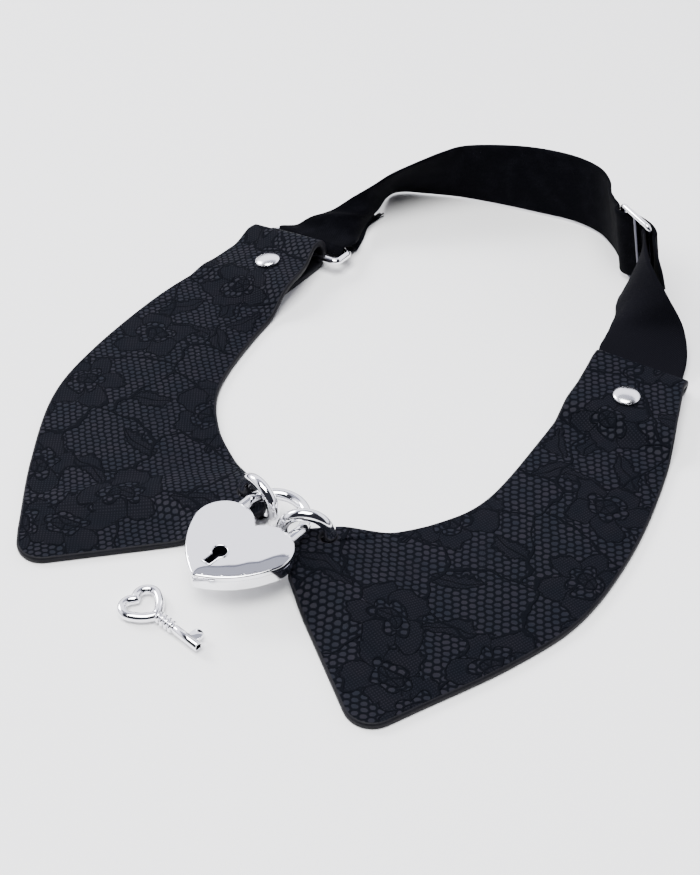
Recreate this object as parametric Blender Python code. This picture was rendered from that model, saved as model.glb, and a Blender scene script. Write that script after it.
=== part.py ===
"""A lace-faced collar choker with a heart padlock, laid flat on a table.

Two stiff collar panels lie on the table, each with its back end folded under and riveted.  The
left fold holds a wire ring, and a 25 mm strap runs from that ring round the back of the neck and
through an upright slider.  A second, short strap joins the slider to the right panel, under whose
fold it is riveted.  A round ring goes through the nose of each panel, and the padlock's shackle
holds both round rings together.  The padlock's key lies beside it.

Every size and place below is in millimetres; build_object() turns them into metres.
X runs to the right, Y from the front to the back of the collar, and Z up from the table.
"""

import math
from typing import NamedTuple

import bmesh
import bpy
from mathutils import Matrix, Vector, geometry

MILLIMETRE = 0.001
# The middle of the piece in the drawing's own X and Y, which becomes the origin.
CENTRE_X = 1.5
CENTRE_Y = 110.8

GAP = 0.3  # clearance where two pieces touch

# Collar panels
LEATHER = 2.1
LEFT_SHIFT = Vector((3.2, 5.1))
RING_FAN = 21.7  # degrees each nose is turned towards the front
NOSE_LIFT = 4.8
NOSE_FLAT_RADIUS = 8.5
NOSE_FADE_RADIUS = 25.0
NOSE_GRID = 3.5
NOSE_END = 3.0  # from the round ring's centre to the end of the nose
NOSE_REGION = 37.0
TAB_WIDTH = 29.0
TAB_LENGTH = 22.0
TAB_TAPER = 1.0
RISE_LENGTH = 9.0
LOOP_RISE = 9.5
LEAN_START = 34.0  # before the fold, where a leaning tab begins to lean
LEAN_LENGTH = 18.0
LEAN_BULGE = 0.2  # how much further back the bend bulges for each millimetre it has risen
SHOULDER = 1.0  # behind the fold's bend, where a tab's full width ends

# Rivets
RIVET_CAP_RADIUS = 4.0
RIVET_CAP_HEIGHT = 1.7
RIVET_POST_RADIUS = 1.5

# Hardware wire
SIDE_RING_WIRE = 1.2
SIDE_RING_LENGTH = 30.8
SIDE_RING_SPACING = 7.5
SIDE_RING_DROP = 0.9  # the strap's bar lies lower than the bar in the fold
SIDE_RING_CORNER = 1.6
SIDE_RING_SLIP = -5.5  # how far its middle lies off the fold's middle
SIDE_RING_TURN = -4.0  # degrees by which its end at the neck lies further back
SIDE_RING_LEAN = 0.6  # how much of the fold's own lean it takes
ROUND_RING_RADIUS = 6.3
ROUND_RING_WIRE = 1.7
ROUND_RING_HEIGHT = 8.0
RING_HOLE_RADIUS = 2.75
RING_HOLE_SETBACK = 5.8

# Straps
STRAP_WIDTH = 25.4
STRAP = 1.0
STRAP_SHARES = (0.0, 0.25, 0.5, 0.75, 1.0)  # where a cross-section has its points
SHORT_STRAP_SHIFT = 1.0  # the short strap lies this much nearer the neck than the fold's middle

# Slider
SLIDER_CENTRE = Vector((48.6, 196.8))
SLIDER_LEAN = Vector((-3.9, -4.8))  # how far its top leans towards the neck
SLIDER_TURN = -34.8
SLIDER_WIRE = 0.85
SLIDER_BAR_SPACING = 7.0
SLIDER_BASE = 0.2
SLIDER_CORNER = 1.5
SLIDER_HEIGHT = 29.4

# Padlock
HEART_TIP = Vector((-2.8, 14.2))
HEART_TURN = -12.2
HEART_BASE = 7.2
HEART_THICKNESS = 5.6
HEART_HALF_WIDTH = 15.1
HEART_LENGTH = 26.5
LOBE_RADIUS = 8.2
LOBE_START = -22.2  # the angle at which the straight side runs into the lobe
SIDE_START = Vector((1.0, 0.5))  # the end of the side, beside the tip
SIDE_BULGE = 1.85
HEART_BEVEL = 0.9
SHACKLE_WIRE = 1.65
SHACKLE_HALF_WIDTH = 8.8
SHACKLE_CENTRE = 29.5  # from the tip to the centre of the shackle's bend
SHACKLE_LEG = 12.0
KEYHOLE_FROM_TIP = 9.9
KEYHOLE_RADIUS = 1.9
KEYHOLE_SLOT = 4.8
KEYHOLE_SLOT_HALF_WIDTH = 1.0
KEYHOLE_DEPTH = 3.0

# Key
KEY_BOW_PLACE = Vector((-14.2, 7.5))
KEY_TURN = -14.5
KEY_WIRE = 1.3
KEY_BOW_WIDTH = 13.0
KEY_BOW_LENGTH = 11.6
KEY_SHANK_RADIUS = 1.25
KEY_SHANK_LENGTH = 15.2
KEY_RIBS = 4
KEY_RIB_START = 0.6
KEY_RIB_PITCH = 1.5
KEY_RIB_RADIUS = 1.7
KEY_BARREL_START = 7.0
KEY_BIT_WIDTH = 3.2
KEY_BIT_REACH = 4.0
KEY_BIT_HALF = 0.5

BLACK_LEATHER = (0.022, 0.023, 0.027, 1.0)
BLACK_STRAP = (0.012, 0.012, 0.014, 1.0)
CHROME = (0.86, 0.87, 0.89, 1.0)


class PanelPlan(NamedTuple):
    """What differs between the two panels, each drawn as the right one."""

    round_ring: Vector
    front_corner: Vector
    outer_edge: list
    neck_edge: list
    tab: Vector  # the middle of the fold's bend
    tab_turn: float
    bend: float  # the free radius inside the fold
    tab_base: float  # how far the folded-under tab lies above the table
    rivet: tuple  # sideways and forwards from the bend
    strip: float  # how far the folded strip reaches outwards from the tab's middle
    lean: float  # degrees by which the tab rises towards the neck
    lean_axis: float  # how far outwards from the tab's middle it neither rises nor sinks


class StrapRow(NamedTuple):
    """One cross-section of a strap: its two edges and how far its middle arches out."""

    low: tuple
    high: tuple
    arch: float = 0.0


RIGHT_PLAN = PanelPlan(
    round_ring=Vector((12.6, 44.4)),
    front_corner=Vector((52.8, -3.2)),
    outer_edge=[(61.0, 9.8), (76.4, 34.6), (85.9, 57.0), (88.6, 86.0), (86.2, 116.0), (81.8, 137.0)],
    neck_edge=[(50.6, 137.0), (49.7, 113.0), (46.6, 84.0), (38.1, 68.5), (25.2, 56.3), (17.3, 50.7)],
    tab=Vector((64.6, 151.6)),
    tab_turn=-2.0,
    bend=0.4,
    tab_base=STRAP + 1.5 * GAP,
    rivet=(1.7, 14.6),
    strip=TAB_WIDTH / 2,
    lean=0.0,
    lean_axis=0.0,
)
LEFT_PLAN = PanelPlan(
    round_ring=Vector((7.4, 43.6)),
    front_corner=Vector((54.9, -1.7)),
    outer_edge=[(61.9, 8.8), (75.0, 31.6), (86.2, 57.0), (88.8, 80.0), (86.4, 112.0), (80.6, 137.0)],
    neck_edge=[(48.4, 137.0), (48.6, 108.0), (45.4, 84.0), (36.2, 68.8), (23.4, 58.0), (14.0, 50.8)],
    tab=Vector((62.9, 152.7)),
    tab_turn=8.5,
    bend=SIDE_RING_WIRE + 1.8 * GAP,
    tab_base=0.0,
    rivet=(-2.9, 12.8),
    strip=7.2,
    lean=9.2,
    lean_axis=7.0,
)
FRONT_CORNER_RADIUS = 7.5
FRONT_EDGE_MIDDLE = (23.8, 22.8)


# ---------------------------------------------------------------- small tools
def turned(vector, degrees):
    """The plan vector turned anticlockwise."""
    return Matrix.Rotation(math.radians(degrees), 2) @ vector


def smooth_through(points, steps):
    """A smooth curve through every point, as a list of vectors."""
    knots = [Vector(point) for point in points]
    knots = [knots[0] * 2 - knots[1]] + knots + [knots[-1] * 2 - knots[-2]]
    curve = []
    for before, start, end, after in zip(knots, knots[1:], knots[2:], knots[3:]):
        for step in range(steps):
            t = step / steps
            bend = (before * -1 + start * 3 - end * 3 + after) * t**3
            bow = (before * 2 - start * 5 + end * 4 - after) * t**2
            curve.append((start * 2 + (end - before) * t + bow + bend) / 2)
    return curve + [knots[-2]]


def rounded_corner(before, corner, after, radius, segments=5):
    """The arc that rounds a plan corner off between its two sides."""
    corner = Vector(corner)
    back = (Vector(before) - corner).normalized()
    ahead = (Vector(after) - corner).normalized()
    half = back.angle(ahead) / 2
    centre = corner + (back + ahead).normalized() * (radius / math.sin(half))
    start = corner + back * (radius / math.tan(half)) - centre
    end = corner + ahead * (radius / math.tan(half)) - centre
    sweep = start.angle_signed(end)
    return [centre + turned(start, -math.degrees(sweep * i / segments)) for i in range(segments + 1)]


def smoothstep(value):
    """0 below 0, 1 above 1, and a soft step between."""
    value = min(max(value, 0.0), 1.0)
    return value * value * (3 - 2 * value)


def new_material(name, colour, roughness, metallic):
    material = bpy.data.materials.new(name)
    material.use_nodes = True
    shader = material.node_tree.nodes["Principled BSDF"]
    shader.inputs["Base Color"].default_value = colour
    shader.inputs["Roughness"].default_value = roughness
    shader.inputs["Metallic"].default_value = metallic
    material.diffuse_color = colour
    return material


def leather_material(name):
    return new_material(name, BLACK_LEATHER, 0.5, 0.0)


def strap_material(name):
    return new_material(name, BLACK_STRAP, 0.85, 0.0)


def chrome_material(name):
    return new_material(name, CHROME, 0.08, 1.0)


def build_object(name, mesh, material, smooth_angle=35.0):
    """Turns a mesh in millimetres into a named object in metres, centred on the origin."""
    bmesh.ops.recalc_face_normals(mesh, faces=mesh.faces)
    to_origin = Matrix.Translation((-CENTRE_X, -CENTRE_Y, 0.0))
    bmesh.ops.transform(mesh, matrix=Matrix.Scale(MILLIMETRE, 4) @ to_origin, verts=mesh.verts)
    data = bpy.data.meshes.new(name)
    mesh.to_mesh(data)
    mesh.free()
    data.materials.append(material)
    data.shade_smooth()
    data.set_sharp_from_angle(angle=math.radians(smooth_angle))
    item = bpy.data.objects.new(name, data)
    bpy.context.scene.collection.objects.link(item)
    return item


def combine(item, other, operation):
    """Adds a Boolean of the other object, which is then only a guide."""
    step = item.modifiers.new(other.name, "BOOLEAN")
    step.operation = operation
    step.solver = "EXACT"
    step.object = other
    other.hide_render = True
    other.display_type = "WIRE"


def loft(rings, closed):
    """A closed skin over a row of equal rings of points; the ends are capped unless it closes."""
    mesh = bmesh.new()
    rows = [[mesh.verts.new(point) for point in ring] for ring in rings]
    size = len(rows[0])
    pairs = list(zip(rows, rows[1:]))
    if closed:
        pairs.append((rows[-1], rows[0]))
    for first, second in pairs:
        for i in range(size):
            j = (i + 1) % size
            mesh.faces.new((first[i], first[j], second[j], second[i]))
    if not closed:
        mesh.faces.new(rows[0])
        mesh.faces.new(rows[-1])
    return mesh


def wire(path, radius, closed, sides=10):
    """A round wire along a path of 3-D points."""
    count = len(path)
    rings = []
    side = None
    for i, point in enumerate(path):
        if closed:
            along = path[(i + 1) % count] - path[i - 1]
        else:
            along = path[min(i + 1, count - 1)] - path[max(i - 1, 0)]
        along.normalize()
        if side is None:
            side = along.orthogonal()
        side = (side - along * side.dot(along)).normalized()
        up = along.cross(side)
        ring = []
        for k in range(sides):
            angle = math.tau * k / sides
            ring.append(point + (side * math.cos(angle) + up * math.sin(angle)) * radius)
        rings.append(ring)
    return loft(rings, closed)


def turned_solid(profile, place, segments=20):
    """A solid of revolution about a vertical axis; the profile is (radius, height), axis to axis."""
    mesh = bmesh.new()
    points = [mesh.verts.new((radius, 0.0, height)) for radius, height in profile]
    edges = [mesh.edges.new(pair) for pair in zip(points, points[1:])]
    bmesh.ops.spin(
        mesh,
        geom=points + edges,
        cent=(0, 0, 0),
        axis=(0, 0, 1),
        angle=math.tau,
        steps=segments,
        use_merge=True,
    )
    bmesh.ops.remove_doubles(mesh, verts=mesh.verts, dist=0.001)
    bmesh.ops.translate(mesh, vec=place, verts=mesh.verts)
    return mesh


def prism(outline, low, high):
    """A plan outline made into a solid between two heights."""
    mesh = bmesh.new()
    face = mesh.faces.new([mesh.verts.new((point[0], point[1], low)) for point in outline])
    raised = bmesh.ops.extrude_face_region(mesh, geom=[face])["geom"]
    tops = [item for item in raised if isinstance(item, bmesh.types.BMVert)]
    bmesh.ops.translate(mesh, vec=(0, 0, high - low), verts=tops)
    return mesh


def level_edges(mesh):
    """The edges round a prism's top and bottom."""
    return [edge for edge in mesh.edges if abs(edge.verts[0].co.z - edge.verts[1].co.z) < 0.01]


def slice_mesh(mesh, point, normal, reach):
    """Cuts new edges into the mesh along a plane; reach(centre) limits which faces are cut."""
    faces = [face for face in mesh.faces if reach(face.calc_center_median())]
    edges = {edge for face in faces for edge in face.edges}
    verts = {vert for face in faces for vert in face.verts}
    bmesh.ops.bisect_plane(
        mesh, geom=faces + list(edges) + list(verts), dist=1e-4, plane_co=point, plane_no=normal
    )


# ---------------------------------------------------------------- collar panels
def bend_radius(plan):
    """The fold's radius at mid leather."""
    return plan.bend + LEATHER / 2


def bend_length(plan):
    return math.pi * bend_radius(plan)


def bend_height(plan):
    """How high the middle of the fold's bend, and of a bar in it, is above the table."""
    return plan.tab_base + LEATHER / 2 + bend_radius(plan)


def nose_direction():
    """Points from the round ring's centre out of the end of the right panel's nose."""
    return turned(Vector((-1.0, 0.0)), RING_FAN)


def tab_axes(plan):
    """The tab's sideways and backward directions in plan."""
    return turned(Vector((1.0, 0.0)), plan.tab_turn), turned(Vector((0.0, 1.0)), plan.tab_turn)


def cross_lines(first, first_way, second, second_way):
    """Where two plan lines, each a point and a direction, meet."""
    first_reach = first_way * 200
    second_reach = second_way * 200
    return geometry.intersect_line_line_2d(
        first - first_reach, first + first_reach, second - second_reach, second + second_reach
    )


def panel_outline(plan):
    """The flat cut of a panel, with the tab still unfolded behind it."""
    across, back = tab_axes(plan)
    nose = nose_direction()
    end_middle = plan.round_ring + nose * NOSE_END
    end_way = Vector((-nose.y, nose.x))
    front_corner = plan.front_corner
    front_way = (Vector(FRONT_EDGE_MIDDLE) - front_corner).normalized()
    front_nose = cross_lines(front_corner, front_way, end_middle, end_way)
    neck = smooth_through(plan.neck_edge, 4)
    neck_way = (neck[-1] - neck[-3]).normalized()
    neck_nose = cross_lines(neck[-1], neck_way, end_middle, end_way)
    sheet_end = bend_length(plan) + TAB_LENGTH
    half = TAB_WIDTH / 2
    tab_outer = [plan.tab + across * half - back * 2.0]
    if plan.strip < half:
        tab_outer.append(plan.tab + across * (half - TAB_TAPER) + back * SHOULDER)
        tab_outer.append(plan.tab + across * plan.strip + back * SHOULDER)
    tab_outer.append(plan.tab + across * plan.strip + back * bend_length(plan))
    inner = half - TAB_TAPER if plan.lean else half
    tab_inner = [plan.tab - across * inner + back * along for along in (bend_length(plan), -2.0)]
    end_outer = plan.tab + across * (plan.strip - TAB_TAPER) + back * sheet_end
    end_inner = plan.tab - across * (half - TAB_TAPER) + back * sheet_end
    outline = rounded_corner(front_nose, front_corner, plan.outer_edge[0], FRONT_CORNER_RADIUS)
    outline += smooth_through(plan.outer_edge, 4)
    outline += tab_outer
    outline += rounded_corner(tab_outer[-1], end_outer, end_inner, 3.0, 3)
    outline += rounded_corner(end_outer, end_inner, tab_inner[0], 3.0, 3)
    outline += tab_inner
    outline += neck
    outline += rounded_corner(neck[-1], neck_nose, front_nose, 3.5)
    outline += rounded_corner(neck_nose, front_nose, front_corner, 3.5)
    return outline


def tab_rise(plan, sideways):
    """How much a leaning tab has risen at a distance outwards from its middle."""
    return (plan.lean_axis - sideways) * math.tan(math.radians(plan.lean))


def tab_profile(plan, along, sideways):
    """Mid-leather place (backward, up) at a distance behind the bend along the flat cut."""
    lie = LEATHER / 2
    if along > bend_length(plan):
        return bend_length(plan) - along, plan.tab_base + lie
    rise = tab_rise(plan, sideways)
    radius = bend_radius(plan) + rise / 2
    if along > 0:
        angle = along / bend_radius(plan)
        height = plan.tab_base + lie + radius * (1 + math.cos(angle))
        return (bend_radius(plan) + LEAN_BULGE * rise) * math.sin(angle), max(height, lie)
    lap = plan.tab_base + LEATHER + GAP
    height = lie + lap * smoothstep((along + TAB_LENGTH + RISE_LENGTH) / RISE_LENGTH)
    crest = bend_height(plan) + bend_radius(plan) - lie - lap
    height += crest * smoothstep((along + LOOP_RISE) / LOOP_RISE)
    height += rise * smoothstep((along + LEAN_START) / LEAN_LENGTH)
    return along, max(height, lie)


def fold_panel(mesh, plan):
    """Lifts the nose and folds the tab of a flat cut that stands LEATHER thick on the table."""
    across, back = tab_axes(plan)
    for vert in mesh.verts:
        spot = vert.co.xy
        lift = 1 - smoothstep(
            ((spot - plan.round_ring).length - NOSE_FLAT_RADIUS) / (NOSE_FADE_RADIUS - NOSE_FLAT_RADIUS)
        )
        offset = vert.co.z - LEATHER / 2
        along = (spot - plan.tab).dot(back)
        sideways = (spot - plan.tab).dot(across)
        if along < -LEAN_START:
            vert.co.z += NOSE_LIFT * lift
            continue
        place, height = tab_profile(plan, along, sideways)
        if along > bend_length(plan):
            height -= offset
        elif along > 0:
            angle = along / bend_radius(plan)
            place += offset * math.sin(angle)
            height += offset * math.cos(angle)
        else:
            height += offset
        spot = plan.tab + across * sideways + back * place
        vert.co = (spot.x, spot.y, height)


def panel_mesh(plan):
    """The folded panel, still without its holes."""
    mesh = prism(panel_outline(plan), 0.0, LEATHER)
    _, back = tab_axes(plan)
    cuts = [-LEAN_START] if plan.lean else []
    cuts += [-TAB_LENGTH - RISE_LENGTH * (1 - i / 4) for i in range(5)]
    cuts += [-LEAN_START + LEAN_LENGTH] if plan.lean else []
    cuts += [-LOOP_RISE * (1 - i / 5) for i in range(5)]
    cuts += [bend_length(plan) * i / 8 for i in range(9)]
    for cut in cuts:
        spot = plan.tab + back * cut
        slice_mesh(mesh, (spot.x, spot.y, 0.0), (back.x, back.y, 0.0), lambda c: c.y > 80.0)
    columns = int((NOSE_REGION - 4.0) / NOSE_GRID)
    for i in range(columns + 1):
        slice_mesh(mesh, (NOSE_REGION - i * NOSE_GRID, 0, 0), (1, 0, 0), lambda c: c.y < 90.0)
    for i in range(16):
        level = 20.0 + i * NOSE_GRID
        slice_mesh(mesh, (0, level, 0), (0, 1, 0), lambda c: c.x < NOSE_REGION)
    fold_panel(mesh, plan)
    bmesh.ops.triangulate(mesh, faces=mesh.faces)
    return mesh


def hole_cutter(name, spot, radius, material):
    """An upright round cutter that goes right through the leather and what lies under it."""
    low = -3.0
    high = 14.0
    profile = [(0, low), (radius, low), (radius, high), (0, high)]
    return build_object(name, turned_solid(profile, (*spot, 0)), material)


def to_left(point):
    """Mirrors a plan point of the right panel to the left panel's place."""
    return Vector((-point.x, point.y)) + LEFT_SHIFT


def rivet_spot(plan, place):
    """Where the rivet goes through the folded tab."""
    across, back = tab_axes(plan)
    sideways, forwards = plan.rivet
    return place(plan.tab + across * sideways - back * forwards)


def build_panel(side, plan, place):
    """One collar panel; place() puts a plan point on its own side."""
    name = "panel_" + side
    mesh = panel_mesh(plan)
    for vert in mesh.verts:
        spot = place(vert.co.xy)
        vert.co = (spot.x, spot.y, vert.co.z)
    material = leather_material(name)
    panel = build_object(name, mesh, material)
    rivet = rivet_spot(plan, place)
    hole = place(plan.round_ring - nose_direction() * RING_HOLE_SETBACK)
    rivet_cut = hole_cutter(name + "_rivet_cut", rivet, RIVET_POST_RADIUS + GAP, material)
    ring_cut = hole_cutter(name + "_ring_cut", hole, RING_HOLE_RADIUS, material)
    combine(panel, rivet_cut, "DIFFERENCE")
    combine(panel, ring_cut, "DIFFERENCE")
    sideways, forwards = plan.rivet
    _, height = tab_profile(plan, -forwards, sideways)
    inward = place(plan.tab - tab_axes(plan)[0]) - place(plan.tab)
    build_rivet(side, rivet, height + LEATHER / 2 + GAP, inward, plan.lean)


def build_rivet(side, spot, seat, inward, lean):
    """A domed rivet that sits on the leather; its post goes through every layer below.

    The cap leans with the leather under it, which rises by some degrees in the inward direction.
    """
    name = "rivet_" + side
    material = chrome_material(name)
    dome = [
        (RIVET_CAP_RADIUS * math.cos(angle), 0.4 + (RIVET_CAP_HEIGHT - 0.4) * math.sin(angle))
        for angle in [math.radians(18 * i) for i in range(5)]
    ]
    cap = turned_solid([(0, 0), (RIVET_CAP_RADIUS, 0)] + dome + [(0, RIVET_CAP_HEIGHT)], (0, 0, 0), 24)
    turn = Matrix.Rotation(math.radians(lean), 4, (inward.y, -inward.x, 0.0))
    bmesh.ops.transform(cap, matrix=Matrix.Translation((*spot, seat)) @ turn, verts=cap.verts)
    rivet = build_object(name, cap, material)
    top = seat + RIVET_CAP_HEIGHT / 2
    profile = [(0, GAP), (RIVET_POST_RADIUS, GAP), (RIVET_POST_RADIUS, top), (0, top)]
    post = build_object(name + "_post", turned_solid(profile, (*spot, 0), 24), material)
    combine(rivet, post, "UNION")


# ---------------------------------------------------------------- wire hardware
def rounded_rectangle(half_x, half_y, radius):
    """A rectangle's corners rounded off, as plan points about its middle."""
    corners = [Vector((sx * half_x, sy * half_y)) for sx, sy in ((1, -1), (1, 1), (-1, 1), (-1, -1))]
    loop = []
    for i, corner in enumerate(corners):
        loop += rounded_corner(corners[i - 1], corner, corners[(i + 1) % 4], radius, 4)
    return loop


def side_ring_spot(plan, along, backward):
    """A point of the side ring's wire, from its own middle; still on the right panel's side."""
    across, back = tab_axes(plan)
    offset = turned(Vector((along, backward)), SIDE_RING_TURN)
    sideways = SIDE_RING_SLIP + offset.x
    spot = plan.tab + across * sideways + back * (SIDE_RING_SPACING / 2 + offset.y)
    drop = SIDE_RING_DROP * (0.5 + backward / SIDE_RING_SPACING)
    return spot, bend_height(plan) - drop + SIDE_RING_LEAN * tab_rise(plan, sideways) / 2


def build_side_ring(side, plan, place):
    """The flat wire ring that joins a folded tab and a strap."""
    loop = rounded_rectangle(
        SIDE_RING_LENGTH / 2 - SIDE_RING_WIRE, SIDE_RING_SPACING / 2, SIDE_RING_CORNER
    )
    path = []
    for point in loop:
        spot, height = side_ring_spot(plan, point.x, point.y)
        spot = place(spot)
        path.append(Vector((spot.x, spot.y, height)))
    name = "side_ring_" + side
    build_object(name, wire(path, SIDE_RING_WIRE, True), chrome_material(name), 60.0)


def build_round_ring(side, plan, place):
    """The heavy round ring that stands in the nose of a panel."""
    centre = place(plan.round_ring)
    outward = place(plan.round_ring - nose_direction()) - centre
    path = []
    for i in range(28):
        angle = math.tau * i / 28
        spot = centre + outward * (ROUND_RING_RADIUS * math.cos(angle))
        path.append(Vector((spot.x, spot.y, ROUND_RING_HEIGHT + ROUND_RING_RADIUS * math.sin(angle))))
    name = "round_ring_" + side
    build_object(name, wire(path, ROUND_RING_WIRE, True, 12), chrome_material(name), 60.0)


def slider_spot(along, outward, height):
    """A point in the slider's own directions: along its rails, away from the neck, and up."""
    spot = SLIDER_CENTRE + turned(Vector((along, outward)), SLIDER_TURN)
    spot += SLIDER_LEAN * (height / SLIDER_HEIGHT)
    return Vector((*spot, height))


def build_slider():
    """The upright slider: a rounded wire frame with a middle bar."""
    half_height = SLIDER_HEIGHT / 2 - SLIDER_WIRE
    middle = SLIDER_BASE + SLIDER_HEIGHT / 2
    corners = rounded_rectangle(SLIDER_BAR_SPACING, half_height, SLIDER_CORNER)
    path = [slider_spot(point.x, 0.0, middle + point.y) for point in corners]
    material = chrome_material("slider")
    slider = build_object("slider", wire(path, SLIDER_WIRE, True, 10), material, 60.0)
    bar = [slider_spot(0.0, 0.0, middle - half_height), slider_spot(0.0, 0.0, middle + half_height)]
    combine(slider, build_object("slider_middle_bar", wire(bar, SLIDER_WIRE, False), material), "UNION")


# ---------------------------------------------------------------- straps
def strap_mesh(rows, steps):
    """A woven strap through rows of cross-sections, STRAP thick."""
    low = smooth_through([row.low for row in rows], steps)
    high = smooth_through([row.high for row in rows], steps)
    arch = smooth_through([(row.arch, 0.0) for row in rows], steps)
    last = len(low) - 1
    rings = []
    for i in range(last + 1):
        width = high[i] - low[i]
        ahead, behind = min(i + 1, last), max(i - 1, 0)
        along = low[ahead] + high[ahead] - low[behind] - high[behind]
        normal = width.cross(along).normalized()
        line = []
        for share in STRAP_SHARES:
            bow = arch[i].x * 4 * share * (1 - share)
            line.append(low[i] + width * share - normal * bow)
        half = normal * (STRAP / 2)
        rings.append([point - half for point in line] + [point + half for point in reversed(line)])
    mesh = loft(rings, False)
    bmesh.ops.triangulate(mesh, faces=mesh.faces)
    return mesh


def bar_turn(inner, outer, turns=6):
    """A strap that comes in under a bar, wraps round it and leaves over it.

    inner and outer are the places on the bar, in 3-D, at which the strap's two edges lie.
    """
    width = (outer - inner).normalized()
    back = Vector((-width.y, width.x, 0.0)).normalized()
    if back.y < 0:
        back.negate()
    radius = SIDE_RING_WIRE + GAP + STRAP / 2
    places = [(5.0, -radius)]
    for i in range(turns + 1):
        angle = math.pi * i / turns
        places.append((-radius * math.sin(angle), -radius * math.cos(angle)))
    rows = []
    for along, height in places:
        offset = back * along + Vector((0.0, 0.0, height))
        rows.append(StrapRow(tuple(inner + offset), tuple(outer + offset)))
    return rows


def in_slider(along, outward):
    """A strap section that stands in the slider."""
    low = SLIDER_BASE + 2 * SLIDER_WIRE + GAP
    return StrapRow(slider_spot(along, outward, low), slider_spot(along, outward, low + STRAP_WIDTH))


# The long strap's cut end under itself, behind the left ring.
FRAYED_END = [
    StrapRow(low=(-42.4, 190.6, 0.7), high=(-61.6, 177.6, 0.7)),
    StrapRow(low=(-43.4, 184.6, 0.7), high=(-63.8, 173.8, 0.7)),
    StrapRow(low=(-41.6, 177.6, 0.7), high=(-65.4, 171.8, 0.7)),
    StrapRow(low=(-40.4, 171.0, 0.7), high=(-66.0, 170.0, 0.7)),
]
# From the left ring the strap arches like a tent while its outer edge rises.
LEFT_TWIST = [
    StrapRow(low=(-40.0, 169.6, 4.4), high=(-62.4, 168.4, 4.4), arch=2.0),
    StrapRow(low=(-42.2, 176.6, 2.4), high=(-58.4, 171.4, 7.2), arch=5.0),
    StrapRow(low=(-44.4, 187.0, 2.1), high=(-52.0, 175.6, 10.0), arch=5.5),
    StrapRow(low=(-45.8, 195.5, 1.6), high=(-47.5, 180.3, 13.2), arch=4.0),
    StrapRow(low=(-46.6, 202.5, 0.8), high=(-42.7, 185.2, 16.2), arch=2.0),
    StrapRow(low=(-45.4, 206.8, 0.7), high=(-38.6, 190.2, 19.0), arch=0.6),
    StrapRow(low=(-41.6, 209.6, 0.7), high=(-34.5, 195.0, 20.8)),
    StrapRow(low=(-36.4, 211.4, 0.7), high=(-30.6, 199.8, 22.2)),
    StrapRow(low=(-30.6, 213.4, 0.7), high=(-26.4, 204.0, 23.8)),
    StrapRow(low=(-22.6, 215.6, 0.7), high=(-20.8, 210.2, 24.6)),
    StrapRow(low=(-9.6, 217.8, 0.7), high=(-8.4, 215.8, 25.4)),
]
# Round the back of the neck, the strap stands on its edge and leans in towards the slider.
BACK_CURVE = [
    StrapRow(low=(3.0, 219.3, 0.7), high=(3.0, 218.8, 25.8)),
    StrapRow(low=(15.5, 220.3, 0.7), high=(14.4, 219.6, 25.8)),
    StrapRow(low=(25.6, 218.2, 0.7), high=(23.2, 217.2, 25.8)),
    StrapRow(low=(32.4, 213.2, 0.7), high=(28.6, 212.0, 25.8)),
    StrapRow(low=(37.2, 207.6, 1.0), high=(31.0, 206.2, 26.2)),
    StrapRow(low=(39.8, 203.8, 1.8), high=(34.4, 201.0, 27.0)),
]
# The long strap's way through the slider: along the rails, away from the neck.
SLIDER_WEAVE = [
    (-9.6, 0.0),
    (-8.6, -1.6),
    (-7.0, -2.1),
    (-5.2, -1.5),
    (-3.5, 0.0),
    (-1.8, 1.5),
    (0.2, 2.2),
    (2.6, 2.6),
    (4.8, 2.6),
    (7.0, 2.1),
    (8.7, 1.2),
]
TAIL = [
    StrapRow(low=(56.6, 191.2, 2.0), high=(53.0, 186.6, 26.8)),
    StrapRow(low=(55.4, 186.8, 1.6), high=(56.3, 181.0, 25.2)),
    StrapRow(low=(52.4, 184.2, 1.2), high=(59.5, 177.4, 22.4)),
    StrapRow(low=(49.8, 181.8, 0.9), high=(62.0, 174.5, 19.2)),
]
# The short right strap: the inner edge stays low and the outer edge rises to the slider.
RIGHT_TWIST = [
    StrapRow(low=(48.6, 160.6, 0.9), high=(74.8, 164.6, 3.4)),
    StrapRow(low=(48.2, 167.0, 1.0), high=(70.4, 171.6, 9.0)),
    StrapRow(low=(47.8, 172.4, 1.3), high=(64.2, 172.4, 17.4)),
    StrapRow(low=(47.4, 177.2, 1.6), high=(59.3, 174.4, 21.8)),
    StrapRow(low=(45.9, 182.0, 2.0), high=(55.2, 177.5, 24.8)),
    StrapRow(low=(46.3, 187.0, 2.2), high=(52.2, 182.2, 26.4)),
]


def long_strap_rows():
    """Cut end, round the left ring's bar, twisting up, behind the neck, slider, tail."""
    edges = []
    for along in (-STRAP_WIDTH / 2, STRAP_WIDTH / 2):
        spot, height = side_ring_spot(LEFT_PLAN, along, SIDE_RING_SPACING / 2)
        edges.append(Vector((*to_left(spot), height)))
    turn = bar_turn(*edges)
    in_weave = [in_slider(*spot) for spot in SLIDER_WEAVE]
    return FRAYED_END + turn + LEFT_TWIST + BACK_CURVE + in_weave + TAIL


def under_tab(along):
    """The short strap's section under the right tab, a distance behind the bend."""
    across, back = tab_axes(RIGHT_PLAN)
    middle = RIGHT_PLAN.tab + back * along - across * SHORT_STRAP_SHIFT
    inner = middle - across * (STRAP_WIDTH / 2)
    outer = middle + across * (STRAP_WIDTH / 2)
    height = (STRAP + GAP) / 2
    return StrapRow((*inner, height), (*outer, height))


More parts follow.
